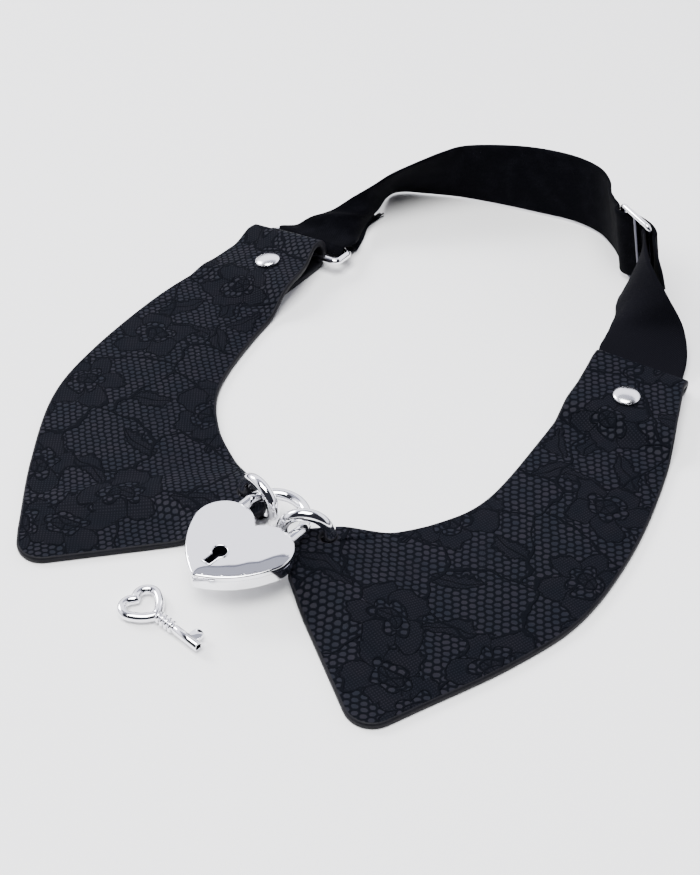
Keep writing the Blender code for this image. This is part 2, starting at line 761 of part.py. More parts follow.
def short_strap_rows():
    """From under the right tab, twisting up to the slider and round its last bar."""
    rows = [under_tab(along) for along in (-19.0, -6.0, 2.0)]
    rows += RIGHT_TWIST
    radius = SLIDER_WIRE + 1.6 * GAP + STRAP / 2
    for angle in (-90, -60, -30, 0, 30):
        turn = math.radians(angle)
        rows.append(in_slider(SLIDER_BAR_SPACING - radius * math.cos(turn), radius * math.sin(turn)))
    return rows


def build_straps():
    build_object("strap_long", strap_mesh(long_strap_rows(), 2), strap_material("strap_long"))
    material = strap_material("strap_short")
    strap = build_object("strap_short", strap_mesh(short_strap_rows(), 2), material)
    rivet = rivet_spot(RIGHT_PLAN, Vector)
    rivet_cut = hole_cutter("strap_rivet_cut", rivet, RIVET_POST_RADIUS + GAP, material)
    combine(strap, rivet_cut, "DIFFERENCE")


# ---------------------------------------------------------------- padlock and key
def heart_outline():
    """The padlock's plan outline about its tip, +Y towards the shackle."""
    lobe = Vector((HEART_HALF_WIDTH - LOBE_RADIUS, HEART_LENGTH - LOBE_RADIUS))
    notch = math.degrees(math.acos(lobe.x / LOBE_RADIUS))
    sweep = 180 - notch - LOBE_START
    tangent = lobe + turned(Vector((LOBE_RADIUS, 0)), LOBE_START)
    side_way = (tangent - SIDE_START).normalized()
    bulge_way = Vector((side_way.y, -side_way.x))
    half = []
    for i in range(7):
        share = i / 7
        bulge = bulge_way * (SIDE_BULGE * 4 * share * (1 - share))
        half.append(SIDE_START.lerp(tangent, share) + bulge)
    steps = 12
    for i in range(steps + 1):
        angle = LOBE_START + sweep * i / steps
        half.append(lobe + turned(Vector((LOBE_RADIUS, 0)), angle))
    mirrored = [Vector((-point.x, point.y)) for point in reversed(half[:-1])]
    return [Vector((0.0, 0.0))] + half + mirrored


def to_heart(mesh):
    """Moves a mesh made about the heart's tip to the padlock's place."""
    turn = Matrix.Rotation(math.radians(HEART_TURN), 4, "Z")
    place = Matrix.Translation((*HEART_TIP, HEART_BASE))
    bmesh.ops.transform(mesh, matrix=place @ turn, verts=mesh.verts)
    return mesh


def keyhole_outline():
    """A round hole with a slot towards the tip."""
    slot_angle = math.degrees(math.asin(KEYHOLE_SLOT_HALF_WIDTH / KEYHOLE_RADIUS))
    start = -90 + slot_angle
    sweep = 360 - 2 * slot_angle
    outline = []
    for i in range(17):
        point = turned(Vector((KEYHOLE_RADIUS, 0)), start + sweep * i / 16)
        outline.append(point + Vector((0, KEYHOLE_FROM_TIP)))
    end = KEYHOLE_FROM_TIP - KEYHOLE_SLOT
    outline += [Vector((-KEYHOLE_SLOT_HALF_WIDTH, end)), Vector((KEYHOLE_SLOT_HALF_WIDTH, end))]
    return outline


def build_heart():
    """The padlock's body, with its keyhole and the two sockets of the shackle."""
    material = chrome_material("padlock_body")
    mesh = prism(heart_outline(), 0.0, HEART_THICKNESS)
    bmesh.ops.recalc_face_normals(mesh, faces=mesh.faces)
    rims = level_edges(mesh)
    bmesh.ops.bevel(
        mesh, geom=rims, offset=HEART_BEVEL, segments=2, profile=0.5, affect="EDGES", material=-1
    )
    body = build_object("padlock_body", to_heart(mesh), material)
    top = HEART_THICKNESS + 1.0
    keyhole = prism(keyhole_outline(), HEART_THICKNESS - KEYHOLE_DEPTH, top)
    combine(body, build_object("keyhole_cut", to_heart(keyhole), material), "DIFFERENCE")
    for side in (-1, 1):
        socket_end = SHACKLE_CENTRE - SHACKLE_LEG - 1.0
        foot = Vector((side * SHACKLE_HALF_WIDTH, socket_end, HEART_THICKNESS / 2))
        mouth = Vector((foot.x, SHACKLE_CENTRE + 4.0, foot.z))
        socket = to_heart(wire([foot, mouth], SHACKLE_WIRE + GAP, False, 14))
        name = "socket_cut_left" if side < 0 else "socket_cut_right"
        combine(body, build_object(name, socket, material), "DIFFERENCE")


def build_shackle():
    """The padlock's bow: two legs in the body and a half-round bend through both round rings."""
    height = HEART_THICKNESS / 2
    path = [Vector((SHACKLE_HALF_WIDTH, SHACKLE_CENTRE - SHACKLE_LEG, height))]
    for i in range(17):
        angle = math.pi * i / 16
        x = SHACKLE_HALF_WIDTH * math.cos(angle)
        path.append(Vector((x, SHACKLE_CENTRE + SHACKLE_HALF_WIDTH * math.sin(angle), height)))
    path.append(Vector((-SHACKLE_HALF_WIDTH, SHACKLE_CENTRE - SHACKLE_LEG, height)))
    mesh = to_heart(wire(path, SHACKLE_WIRE, False, 12))
    build_object("padlock_shackle", mesh, chrome_material("padlock_shackle"), 60.0)


def key_bow_outline(scale):
    """The bow's heart about its own middle, its tip towards the shank at +X."""
    middle = Vector((0.0, HEART_LENGTH * 0.57))
    return [turned(point - middle, 90.0) * scale for point in heart_outline()]


def to_key(mesh):
    """Moves a mesh made about the key's bow to the key's place on the table."""
    turn = Matrix.Rotation(math.radians(KEY_TURN), 4, "Z")
    place = Matrix.Translation((*KEY_BOW_PLACE, GAP))
    bmesh.ops.transform(mesh, matrix=place @ turn, verts=mesh.verts)
    return mesh


def build_key():
    """The key: an open heart bow, a ribbed shank and one bit."""
    material = chrome_material("key")
    outer_scale = KEY_BOW_WIDTH / (2 * HEART_HALF_WIDTH)
    inner_scale = outer_scale * (1 - 4 * KEY_WIRE / KEY_BOW_WIDTH)
    bow = prism(key_bow_outline(outer_scale), 0.0, 2 * KEY_WIRE)
    bmesh.ops.recalc_face_normals(bow, faces=bow.faces)
    rims = level_edges(bow)
    bmesh.ops.bevel(
        bow, geom=rims, offset=KEY_WIRE / 2, segments=2, profile=0.5, affect="EDGES", material=-1
    )
    key = build_object("key", to_key(bow), material, 60.0)
    window = prism(key_bow_outline(inner_scale), -1.0, 2 * KEY_WIRE + 1.0)
    combine(key, build_object("key_window_cut", to_key(window), material), "DIFFERENCE")
    start = KEY_BOW_LENGTH / 2 - 0.2
    waist = KEY_SHANK_RADIUS * 0.8
    profile = [(0, 0), (waist, 0)]
    for i in range(KEY_RIBS):
        rib = KEY_RIB_START + i * KEY_RIB_PITCH
        profile += [(waist, rib), (KEY_RIB_RADIUS, rib + 0.3)]
        profile += [(KEY_RIB_RADIUS, rib + 0.7), (waist, rib + 1.0)]
    profile += [(KEY_SHANK_RADIUS, KEY_BARREL_START), (KEY_SHANK_RADIUS, KEY_SHANK_LENGTH)]
    profile.append((0, KEY_SHANK_LENGTH))
    shank = turned_solid(profile, (0, 0, 0), 12)
    lay = Matrix.Translation((start, 0, KEY_RIB_RADIUS)) @ Matrix.Rotation(math.radians(90), 4, "Y")
    bmesh.ops.transform(shank, matrix=lay, verts=shank.verts)
    combine(key, build_object("key_shank", to_key(shank), material), "UNION")
    flag_end = start + KEY_SHANK_LENGTH - 1.6
    flag_start = flag_end - KEY_BIT_WIDTH
    corners = [(flag_start, 0), (flag_end, 0), (flag_end, KEY_BIT_REACH), (flag_start, KEY_BIT_REACH)]
    flag = prism(corners, KEY_RIB_RADIUS - KEY_BIT_HALF, KEY_RIB_RADIUS + KEY_BIT_HALF)
    combine(key, build_object("key_bit", to_key(flag), material), "UNION")


def clear_scene():
    for item in list(bpy.data.objects):
        bpy.data.objects.remove(item, do_unlink=True)


def main():
    clear_scene()
    build_panel("right", RIGHT_PLAN, Vector)
    build_panel("left", LEFT_PLAN, to_left)
    build_side_ring("left", LEFT_PLAN, to_left)
    build_round_ring("right", RIGHT_PLAN, Vector)
    build_round_ring("left", LEFT_PLAN, to_left)
    build_slider()
    build_straps()
    build_heart()
    build_shackle()
    build_key()


main()
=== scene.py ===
"""The dressing of a lace-faced collar choker with a heart padlock, laid flat on a table.

Each class builds one sub-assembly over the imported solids: the collar panels, their rivets, the
straps, the wire rings, the slider, the padlock and its key.

Sizes are in millimetres in the drawing's own frame, as the part's source has them, and settle()
turns a finished mesh into metres in the row frame.  X runs to the right, Y from the front to the
back of the collar, and Z up from the table.
"""

import logging
import math
import random
from dataclasses import dataclass, replace
from enum import Enum
from typing import NamedTuple, Sequence, Union

import bmesh
import bpy
from mathutils import Matrix, Vector, geometry

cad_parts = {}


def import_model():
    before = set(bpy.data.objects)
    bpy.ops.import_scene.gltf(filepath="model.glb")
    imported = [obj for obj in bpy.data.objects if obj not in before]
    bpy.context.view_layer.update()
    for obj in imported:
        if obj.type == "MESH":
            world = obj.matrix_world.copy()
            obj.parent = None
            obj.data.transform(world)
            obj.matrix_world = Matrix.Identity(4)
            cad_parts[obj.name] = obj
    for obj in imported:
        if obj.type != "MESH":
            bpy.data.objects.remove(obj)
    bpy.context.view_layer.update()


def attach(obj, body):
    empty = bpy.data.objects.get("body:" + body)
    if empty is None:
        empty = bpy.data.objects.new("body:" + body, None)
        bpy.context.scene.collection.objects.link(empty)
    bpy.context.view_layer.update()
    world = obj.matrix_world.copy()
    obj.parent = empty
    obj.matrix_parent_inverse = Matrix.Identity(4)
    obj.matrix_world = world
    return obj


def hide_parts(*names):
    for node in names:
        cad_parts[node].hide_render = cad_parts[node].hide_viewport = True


LOG = logging.getLogger("choker")

MILLIMETRE = 0.001
CENTRE_X = 1.5
CENTRE_Y = 110.8
GAP = 0.3
LEATHER = 2.1
LEFT_SHIFT = Vector((3.2, 5.1))
RING_FAN = 21.7  # degrees each nose is turned towards the front
STRAP = 1.0
STRAP_WIDTH = 25.4
SIDE_RING_WIRE = 1.2
FLAT_MAP = "flat_cut"
MAP_MILLIMETRES = 100.0  # one unit of the flat map
CURVE_STEPS = 14  # between two points of a panel's edge

BMesh = bmesh.types.BMesh
BMVert = bmesh.types.BMVert
Object = bpy.types.Object
Material = bpy.types.Material
Points = Sequence[Vector]
AXIS_X = Vector((1, 0, 0))
AXIS_Y = Vector((0, 1, 0))


# ---------------------------------------------------------------- plan geometry
class Side(Enum):
    """Which side of the collar a piece is on."""

    RIGHT = "right"
    LEFT = "left"

    def place(self, point: Vector) -> Vector:
        """Puts a plan point, drawn for the right side, on this side."""
        if self is Side.RIGHT:
            return point.copy()
        return Vector((-point.x, point.y)) + LEFT_SHIFT


def turned(vector: Vector, degrees: float) -> Vector:
    """Turns a plan vector anticlockwise."""
    return Matrix.Rotation(math.radians(degrees), 2) @ vector


def smoothstep(value: float) -> float:
    """Goes softly from 0 at 0 to 1 at 1, and stays flat outside."""
    value = min(max(value, 0.0), 1.0)
    return value * value * (3 - 2 * value)


def smooth_through(points: Sequence[Sequence[float]], steps: int) -> list[Vector]:
    """Draws a smooth curve through every point.

    Args:
        points: The points that the curve passes.
        steps: How many stretches it has between two of them.

    Returns:
        The curve's own points.
    """
    knots = [Vector(point) for point in points]
    knots = [knots[0] * 2 - knots[1]] + knots + [knots[-1] * 2 - knots[-2]]
    curve = []
    for before, start, end, after in zip(knots, knots[1:], knots[2:], knots[3:]):
        for step in range(steps):
            t = step / steps
            bend = (before * -1 + start * 3 - end * 3 + after) * t**3
            bow = (before * 2 - start * 5 + end * 4 - after) * t**2
            curve.append((start * 2 + (end - before) * t + bow + bend) / 2)
    return curve + [knots[-2]]


def rounded_corner(
    before: Vector, corner: Vector, after: Vector, radius: float, segments: int = 10
) -> list[Vector]:
    """Rounds a plan corner off between its two sides.

    Args:
        before: A point on the side that comes first.
        corner: The sharp corner.
        after: A point on the side that follows.
        radius: The arc's radius.
        segments: How many stretches the arc has.

    Returns:
        The points of the arc.
    """
    back = (Vector(before) - corner).normalized()
    ahead = (Vector(after) - corner).normalized()
    half = back.angle(ahead) / 2
    centre = corner + (back + ahead).normalized() * (radius / math.sin(half))
    start = corner + back * (radius / math.tan(half)) - centre
    end = corner + ahead * (radius / math.tan(half)) - centre
    sweep = math.degrees(start.angle_signed(end))
    return [centre + turned(start, -sweep * i / segments) for i in range(segments + 1)]


def rounded_rectangle(half_x: float, half_y: float, radius: float) -> list[Vector]:
    """A rectangle with its corners rounded off, as plan points about its middle."""
    signs = ((1, -1), (1, 1), (-1, 1), (-1, -1))
    corners = [Vector((sx * half_x, sy * half_y)) for sx, sy in signs]
    loop = []
    for i, corner in enumerate(corners):
        loop += rounded_corner(corners[i - 1], corner, corners[(i + 1) % 4], radius, 9)
    return loop


def circle_points(radius: float, count: int, centre: Vector) -> list[Vector]:
    """The corners of a round hole in plan."""
    return [centre + turned(Vector((radius, 0)), 360 * i / count) for i in range(count)]


def crossing(first: Vector, first_way: Vector, second: Vector, second_way: Vector) -> Vector:
    """Where two plan lines, each a point and a direction, meet."""
    ends = [first - first_way * 200, first + first_way * 200]
    ends += [second - second_way * 200, second + second_way * 200]
    return geometry.intersect_line_line_2d(*ends)


# ---------------------------------------------------------------- mesh tools
def ring_edges(ring: Sequence[BMVert]) -> list[bmesh.types.BMEdge]:
    """The edges that join a closed ring of vertices."""
    found = []
    for vert, other in zip(ring, [*ring[1:], ring[0]]):
        found += [edge for edge in vert.link_edges if edge.other_vert(vert) is other]
    return found


def closed_ring(mesh: BMesh, points: Points) -> list[BMVert]:
    """Starts a closed ring of vertices joined by edges."""
    ring = [mesh.verts.new(point) for point in points]
    for vert, other in zip(ring, [*ring[1:], ring[0]]):
        mesh.edges.new((vert, other))
    return ring


def extruded_ring(mesh: BMesh, ring: list[BMVert], points: Points) -> list[BMVert]:
    """Extrudes a closed ring to new places.

    Args:
        mesh: The mesh that holds the ring.
        ring: The ring's vertices.
        points: Where the new ring goes.

    Returns:
        The new ring's vertices, in the same order.
    """
    made = bmesh.ops.extrude_edge_only(mesh, edges=ring_edges(ring))["geom"]
    fresh = {item for item in made if isinstance(item, BMVert)}
    moved_ring = []
    for vert, point in zip(ring, points):
        twin = next(e.other_vert(vert) for e in vert.link_edges if e.other_vert(vert) in fresh)
        twin.co = point
        moved_ring.append(twin)
    return moved_ring


def swept(rings: Sequence[Points], closed: bool) -> BMesh:
    """Extrudes a ring of points from place to place.

    Args:
        rings: The ring's points at each place.
        closed: Whether the last place joins the first; otherwise both ends are capped.

    Returns:
        The closed skin.
    """
    mesh = bmesh.new()
    first = closed_ring(mesh, rings[0])
    last = first
    for points in rings[1:]:
        last = extruded_ring(mesh, last, points)
    if closed:
        for i, vert in enumerate(last):
            follow = (i + 1) % len(last)
            mesh.faces.new((vert, last[follow], first[follow], first[i]))
    else:
        for ring in (first, last):
            bmesh.ops.contextual_create(mesh, geom=ring_edges(ring))
    bmesh.ops.recalc_face_normals(mesh, faces=mesh.faces)
    return mesh


def wire(path: Points, radius: float, closed: bool, sides: int) -> BMesh:
    """Draws a round wire along a path.

    Args:
        path: The wire's centre line.
        radius: The wire's radius.
        closed: Whether the path joins up.
        sides: How many sides the wire has.

    Returns:
        The wire's mesh.
    """
    count = len(path)
    rings = []
    side = None
    for i, point in enumerate(path):
        ahead = path[(i + 1) % count] if closed else path[min(i + 1, count - 1)]
        behind = path[i - 1] if closed else path[max(i - 1, 0)]
        along = (ahead - behind).normalized()
        side = along.orthogonal() if side is None else side - along * side.dot(along)
        side.normalize()
        up = along.cross(side)
        turns = [math.tau * k / sides for k in range(sides)]
        rings.append([point + (side * math.cos(t) + up * math.sin(t)) * radius for t in turns])
    return swept(rings, closed)


def lathed(profile: Sequence[tuple[float, float]], segments: int) -> BMesh:
    """Spins a profile about the vertical axis.

    Args:
        profile: Radius and height of each point, from axis to axis.
        segments: How many steps the spin has.

    Returns:
        The turned solid.
    """
    mesh = bmesh.new()
    points = [mesh.verts.new((radius, 0.0, height)) for radius, height in profile]
    edges = [mesh.edges.new(pair) for pair in zip(points, points[1:])]
    spin = {"cent": (0, 0, 0), "axis": (0, 0, 1), "angle": math.tau, "steps": segments}
    bmesh.ops.spin(mesh, geom=points + edges, use_merge=True, **spin)
    bmesh.ops.remove_doubles(mesh, verts=mesh.verts, dist=0.0005)
    bmesh.ops.recalc_face_normals(mesh, faces=mesh.faces)
    return mesh


def plate(
    outline: Points, thickness: float, holes: Sequence[Points] = (), low: float = 0.0
) -> BMesh:
    """Cuts a flat plate with holes and gives it its thickness.

    Args:
        outline: The plate's edge in plan.
        thickness: How thick it is.
        holes: The edges of its holes.
        low: The height of its underside.

    Returns:
        The plate's mesh.
    """
    mesh = bmesh.new()
    edges = []
    for loop in (outline, *holes):
        edges += ring_edges(closed_ring(mesh, [Vector((p[0], p[1], low)) for p in loop]))
    bmesh.ops.triangle_fill(mesh, edges=edges, use_beauty=True)
    raised = bmesh.ops.extrude_face_region(mesh, geom=list(mesh.faces))["geom"]
    tops = [item for item in raised if isinstance(item, BMVert)]
    bmesh.ops.translate(mesh, vec=(0, 0, thickness), verts=tops)
    bmesh.ops.recalc_face_normals(mesh, faces=mesh.faces)
    return mesh


def round_rims(mesh: BMesh, width: float, segments: int) -> None:
    """Rounds off the level edges between a plate's wall and its faces."""
    rims = []
    for edge in mesh.edges:
        level = abs(edge.verts[0].co.z - edge.verts[1].co.z) < 1e-4
        if level and edge.calc_face_angle(0.0) > 1.0:
            rims.append(edge)
    shape = {"offset_type": "OFFSET", "profile": 0.5, "affect": "EDGES", "material": -1}
    bmesh.ops.bevel(mesh, geom=rims, offset=width, segments=segments, **shape)


def slice_faces(mesh: BMesh, faces: Sequence, point: Vector, normal: Vector) -> None:
    """Cuts new edges into some faces along a plane."""
    edges = {edge for face in faces for edge in face.edges}
    verts = {vert for face in faces for vert in face.verts}
    parts = [*faces, *edges, *verts]
    bmesh.ops.bisect_plane(mesh, geom=parts, dist=1e-4, plane_co=point, plane_no=normal)


def slice_where(mesh: BMesh, point: Vector, normal: Vector, region: tuple) -> None:
    """Cuts new edges along a plane, but only in faces whose middle lies in a plan box."""
    (left, front), (right, back) = region
    faces = []
    for face in mesh.faces:
        middle = face.calc_center_bounds()
        if left < middle.x < right and front < middle.y < back:
            faces.append(face)
    slice_faces(mesh, faces, point, normal)


def moved(mesh: BMesh, place: Sequence[float], degrees: float, axis: object = "Z") -> BMesh:
    """Turns a mesh about an axis through the origin, and then carries it to a place.

    Args:
        mesh: The mesh.
        place: Where its origin goes.
        degrees: How far it turns.
        axis: The axis's letter or direction.

    Returns:
        The same mesh.
    """
    matrix = Matrix.Translation(place) @ Matrix.Rotation(math.radians(degrees), 4, axis)
    bmesh.ops.transform(mesh, matrix=matrix, verts=mesh.verts)
    return mesh


def absorb(mesh: BMesh, other: BMesh) -> None:
    """Adds another mesh to a mesh, and frees the other."""
    data = bpy.data.meshes.new("absorbed")
    other.to_mesh(data)
    other.free()
    mesh.from_mesh(data)
    bpy.data.meshes.remove(data)


def link_object(name: str, data: bpy.types.ID) -> Object:
    """Puts an object with the given data into the scene."""
    made = bpy.data.objects.new(name, data)
    bpy.context.scene.collection.objects.link(made)
    return made


def make_object(name: str, mesh: BMesh) -> Object:
    """Turns a mesh in drawing millimetres into an object at the origin, and frees the mesh."""
    to_origin = Matrix.Translation((-CENTRE_X, -CENTRE_Y, 0.0))
    matrix = Matrix.Scale(MILLIMETRE, 4) @ to_origin
    bmesh.ops.transform(mesh, matrix=matrix, verts=mesh.verts)
    data = bpy.data.meshes.new(name)
    mesh.to_mesh(data)
    mesh.free()
    return link_object(name, data)


def settle(
    name: str, mesh: BMesh, materials: Sequence[Material], nodes: Sequence[str], smooth: float
) -> Object:
    """Finishes a piece: places it, dresses it and lets it ride on the frame.

    Args:
        name: The piece's name.
        mesh: Its mesh in drawing millimetres, which is freed.
        materials: Its finishes.
        nodes: The CAD nodes that it stands for, which it hides.
        smooth: The angle in degrees past which an edge stays sharp.

    Returns:
        The finished object.
    """
    made = make_object(name, mesh)
    for material in materials:
        made.data.materials.append(material)
    made.data.shade_smooth()
    made.data.set_sharp_from_angle(angle=math.radians(smooth))
    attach(made, "root")
    if nodes:
        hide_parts(*nodes)
    LOG.info("%s: %d faces", name, len(made.data.polygons))
    return made


def carve(made: Object, cutters: Sequence[Object]) -> None:
    """Cuts other objects out of a piece, and removes them."""
    for cutter in cutters:
        step = made.modifiers.new(cutter.name, "BOOLEAN")
        step.operation = "DIFFERENCE"
        step.solver = "EXACT"
        step.object = cutter
    bpy.context.view_layer.update()
    graph = bpy.context.evaluated_depsgraph_get()
    data = bpy.data.meshes.new_from_object(made.evaluated_get(graph))
    made.modifiers.clear()
    made.data = data
    for cutter in cutters:
        bpy.data.objects.remove(cutter)


# ---------------------------------------------------------------- node tools
@dataclass(frozen=True)
class Signal:
    """A socket's value, which adds a Math node for each step of plain arithmetic."""

    sheet: "NodeSheet"
    socket: bpy.types.NodeSocket

    def __add__(self, other: "Feed") -> "Signal":
        """Adds a value."""
        return self.sheet.math("ADD", self, other)

    def __sub__(self, other: "Feed") -> "Signal":
        """Takes a value away."""
        return self.sheet.math("SUBTRACT", self, other)

    def __rsub__(self, other: "Feed") -> "Signal":
        """Is taken away from a value."""
        return self.sheet.math("SUBTRACT", other, self)

    def __mul__(self, other: "Feed") -> "Signal":
        """Multiplies by a value."""
        return self.sheet.math("MULTIPLY", self, other)


Feed = Union[Signal, float, Sequence[float]]


class NodeSheet:
    """Places and joins the nodes of one node tree."""

    def __init__(self, tree: bpy.types.NodeTree) -> None:
        """Keeps the tree that the nodes go into."""
        self.tree = tree

    def add(self, kind: str, **settings: object) -> bpy.types.Node:
        """Adds a node and sets its properties."""
        node = self.tree.nodes.new(kind)
        row, column = divmod(len(self.tree.nodes), 12)
        node.location = (180 * column, -220 * row)
        for name, value in settings.items():
            setattr(node, name, value)
        return node

    def feed(self, socket: bpy.types.NodeSocket, value: Feed) -> None:
        """Links a socket's value, or sets it where it is a plain number or colour."""
        if isinstance(value, Signal):
            self.tree.links.new(value.socket, socket)
        else:
            socket.default_value = value

    def fill(self, node: bpy.types.Node, **inputs: Feed) -> bpy.types.Node:
        """Feeds a node's inputs by name, with _ for a space, and returns the node."""
        for name, value in inputs.items():
            self.feed(node.inputs[name.replace("_", " ")], value)
        return node

    def read(self, node: bpy.types.Node, output: Union[str, int]) -> Signal:
        """Reads one of a node's outputs."""
        return Signal(self, node.outputs[output])

    def math(self, operation: str, *values: Feed) -> Signal:
        """Adds a Math node and returns its value."""
        node = self.add("ShaderNodeMath", operation=operation)
        for socket, value in zip(node.inputs, values):
            self.feed(socket, value)
        return self.read(node, 0)

    def most(self, first: Feed, *others: Feed) -> Signal:
        """The greatest of several values."""
        for other in others:
            first = self.math("MAXIMUM", first, other)
        return first

    def vector(self, operation: str, *values: Feed) -> Signal:
        """Adds a Vector Math node and returns its vector, or its value where it has one."""
        node = self.add("ShaderNodeVectorMath", operation=operation)
        second = "Scale" if operation == "SCALE" else 1
        for socket, value in zip((node.inputs[0], node.inputs[second]), values):
            self.feed(socket, value)
        scalar = operation in ("LENGTH", "DOT_PRODUCT")
        return self.read(node, "Value" if scalar else "Vector")

    def turn(self, vector: Signal, angle: Feed) -> Signal:
        """Turns a vector about Z by an angle in radians."""
        node = self.add("ShaderNodeVectorRotate", rotation_type="Z_AXIS")
        return self.read(self.fill(node, Vector=vector, Angle=angle), "Vector")

    def split(self, vector: Signal) -> list[Signal]:
        """The three numbers of a vector."""
        node = self.add("ShaderNodeSeparateXYZ")
        self.feed(node.inputs[0], vector)
        return [self.read(node, i) for i in range(3)]

    def band(
        self, value: Feed, start: float, end: float, low: float = 0.0, high: float = 1.0
    ) -> Signal:
        """Goes softly from low at start to high at end.

        Args:
            value: The number that is read.
            start: Where the step begins.
            end: Where it ends; it may be less than start.
            low: The value at start.
            high: The value at end.

        Returns:
            The stepped value.
        """
        node = self.add("ShaderNodeMapRange", interpolation_type="SMOOTHSTEP")
        self.fill(node, Value=value, From_Min=start, From_Max=end, To_Min=low, To_Max=high)
        return self.read(node, "Result")

    def mix(self, factor: Feed, first: Feed, second: Feed) -> Signal:
        """Mixes two colours."""
        node = self.add("ShaderNodeMix", data_type="RGBA")
        for slot, value in ((0, factor), (6, first), (7, second)):
            self.feed(node.inputs[slot], value)
        return self.read(node, 2)

    def noise(self, vector: Signal, scale: float, detail: float, output: str = "Fac") -> Signal:
        """Reads a noise texture at a vector."""
        node = self.add("ShaderNodeTexNoise")
        return self.read(self.fill(node, Vector=vector, Scale=scale, Detail=detail), output)

    def shaken(self, vector: Signal, scale: float, detail: float) -> Signal:
        """A vector that noise scatters about zero, up to a half each way."""
        colour = self.noise(vector, scale, detail, "Color")
        return self.vector("SUBTRACT", colour, (0.5, 0.5, 0.5))

    def cells(self, vector: Signal, scale: Feed, **settings: object) -> bpy.types.Node:
        """Adds a Voronoi texture read at a vector."""
        node = self.add("ShaderNodeTexVoronoi", **settings)
        return self.fill(node, Vector=vector, Scale=scale)

    def group(self, tree: bpy.types.NodeTree, **inputs: Feed) -> dict[str, Signal]:
        """Places a shared node group, feeds its inputs and returns its outputs by name."""
        node = self.fill(self.add("ShaderNodeGroup", node_tree=tree), **inputs)
        return {output.name: Signal(self, output) for output in node.outputs}


class SocketKind(Enum):
    """What a group's socket carries."""

    NUMBER = "NodeSocketFloat"
    VECTOR = "NodeSocketVector"


class SharedEffect(NodeSheet):
    """A node group that several finishes use; its outputs are plain numbers."""

    def __init__(self, name: str, inputs: dict[str, SocketKind], outputs: Sequence[str]) -> None:
        """Makes the empty group with its sockets."""
        super().__init__(bpy.data.node_groups.new(name, "ShaderNodeTree"))
        new_socket = self.tree.interface.new_socket
        for key, kind in inputs.items():
            new_socket(name=key, in_out="INPUT", socket_type=kind.value)
        for key in outputs:
            new_socket(name=key, in_out="OUTPUT", socket_type=SocketKind.NUMBER.value)
        self.inside = self.add("NodeGroupInput")
        self.outside = self.add("NodeGroupOutput")


class GrainEffect(SharedEffect):
    """Leather grain, as a height and a tone: small pebbles with fine pores."""

    def __init__(self) -> None:
        """Builds the group's nodes."""
        inputs = {"Place": SocketKind.VECTOR, "Pebbles": SocketKind.NUMBER}
        super().__init__("leather_grain", inputs, ["Height", "Tone"])
        place = self.read(self.inside, "Place")
        pebble = self.cells(place, self.read(self.inside, "Pebbles"), feature="SMOOTH_F1")
        broad = self.noise(place, 0.16, 3.0)
        pore = self.noise(place, 5.0, 4.0)
        height = pore * 0.35 + (1.0 - self.read(pebble, "Distance"))
        self.fill(self.outside, Height=height, Tone=pore * 0.4 + broad)


class LintEffect(SharedEffect):
    """Lint and dust, as a mask: small light specks scattered on cloth."""

    def __init__(self) -> None:
        """Builds the group's nodes."""
        inputs = {"Place": SocketKind.VECTOR, "Spread": SocketKind.NUMBER}
        super().__init__("lint", inputs, ["Specks"])
        place, spread = (self.read(self.inside, key) for key in inputs)
        cell = self.cells(place, spread, feature="F1")
        tone = self.split(self.read(cell, "Color"))[0]
        near = self.band(self.read(cell, "Distance"), 0.13, 0.04)
        self.fill(self.outside, Specks=near * self.band(tone, 0.62, 0.7))


class ScratchEffect(SharedEffect):
    """Fine scratches and smears on bright metal, as a haze and a height."""

    def __init__(self) -> None:
        """Builds the group's nodes."""
        super().__init__("polish_marks", {"Place": SocketKind.VECTOR}, ["Haze", "Height"])
        place = self.read(self.inside, "Place")
        long = self.vector("MULTIPLY", self.turn(place, 0.6), (9.0, 0.35, 2.0))
        line = self.noise(long, 1.0, 2.0)
        smear = self.noise(place, 0.35, 3.0)
        haze = self.band(line, 0.6, 0.78) * smear
        self.fill(self.outside, Haze=haze, Height=self.noise(place, 0.12, 1.0))


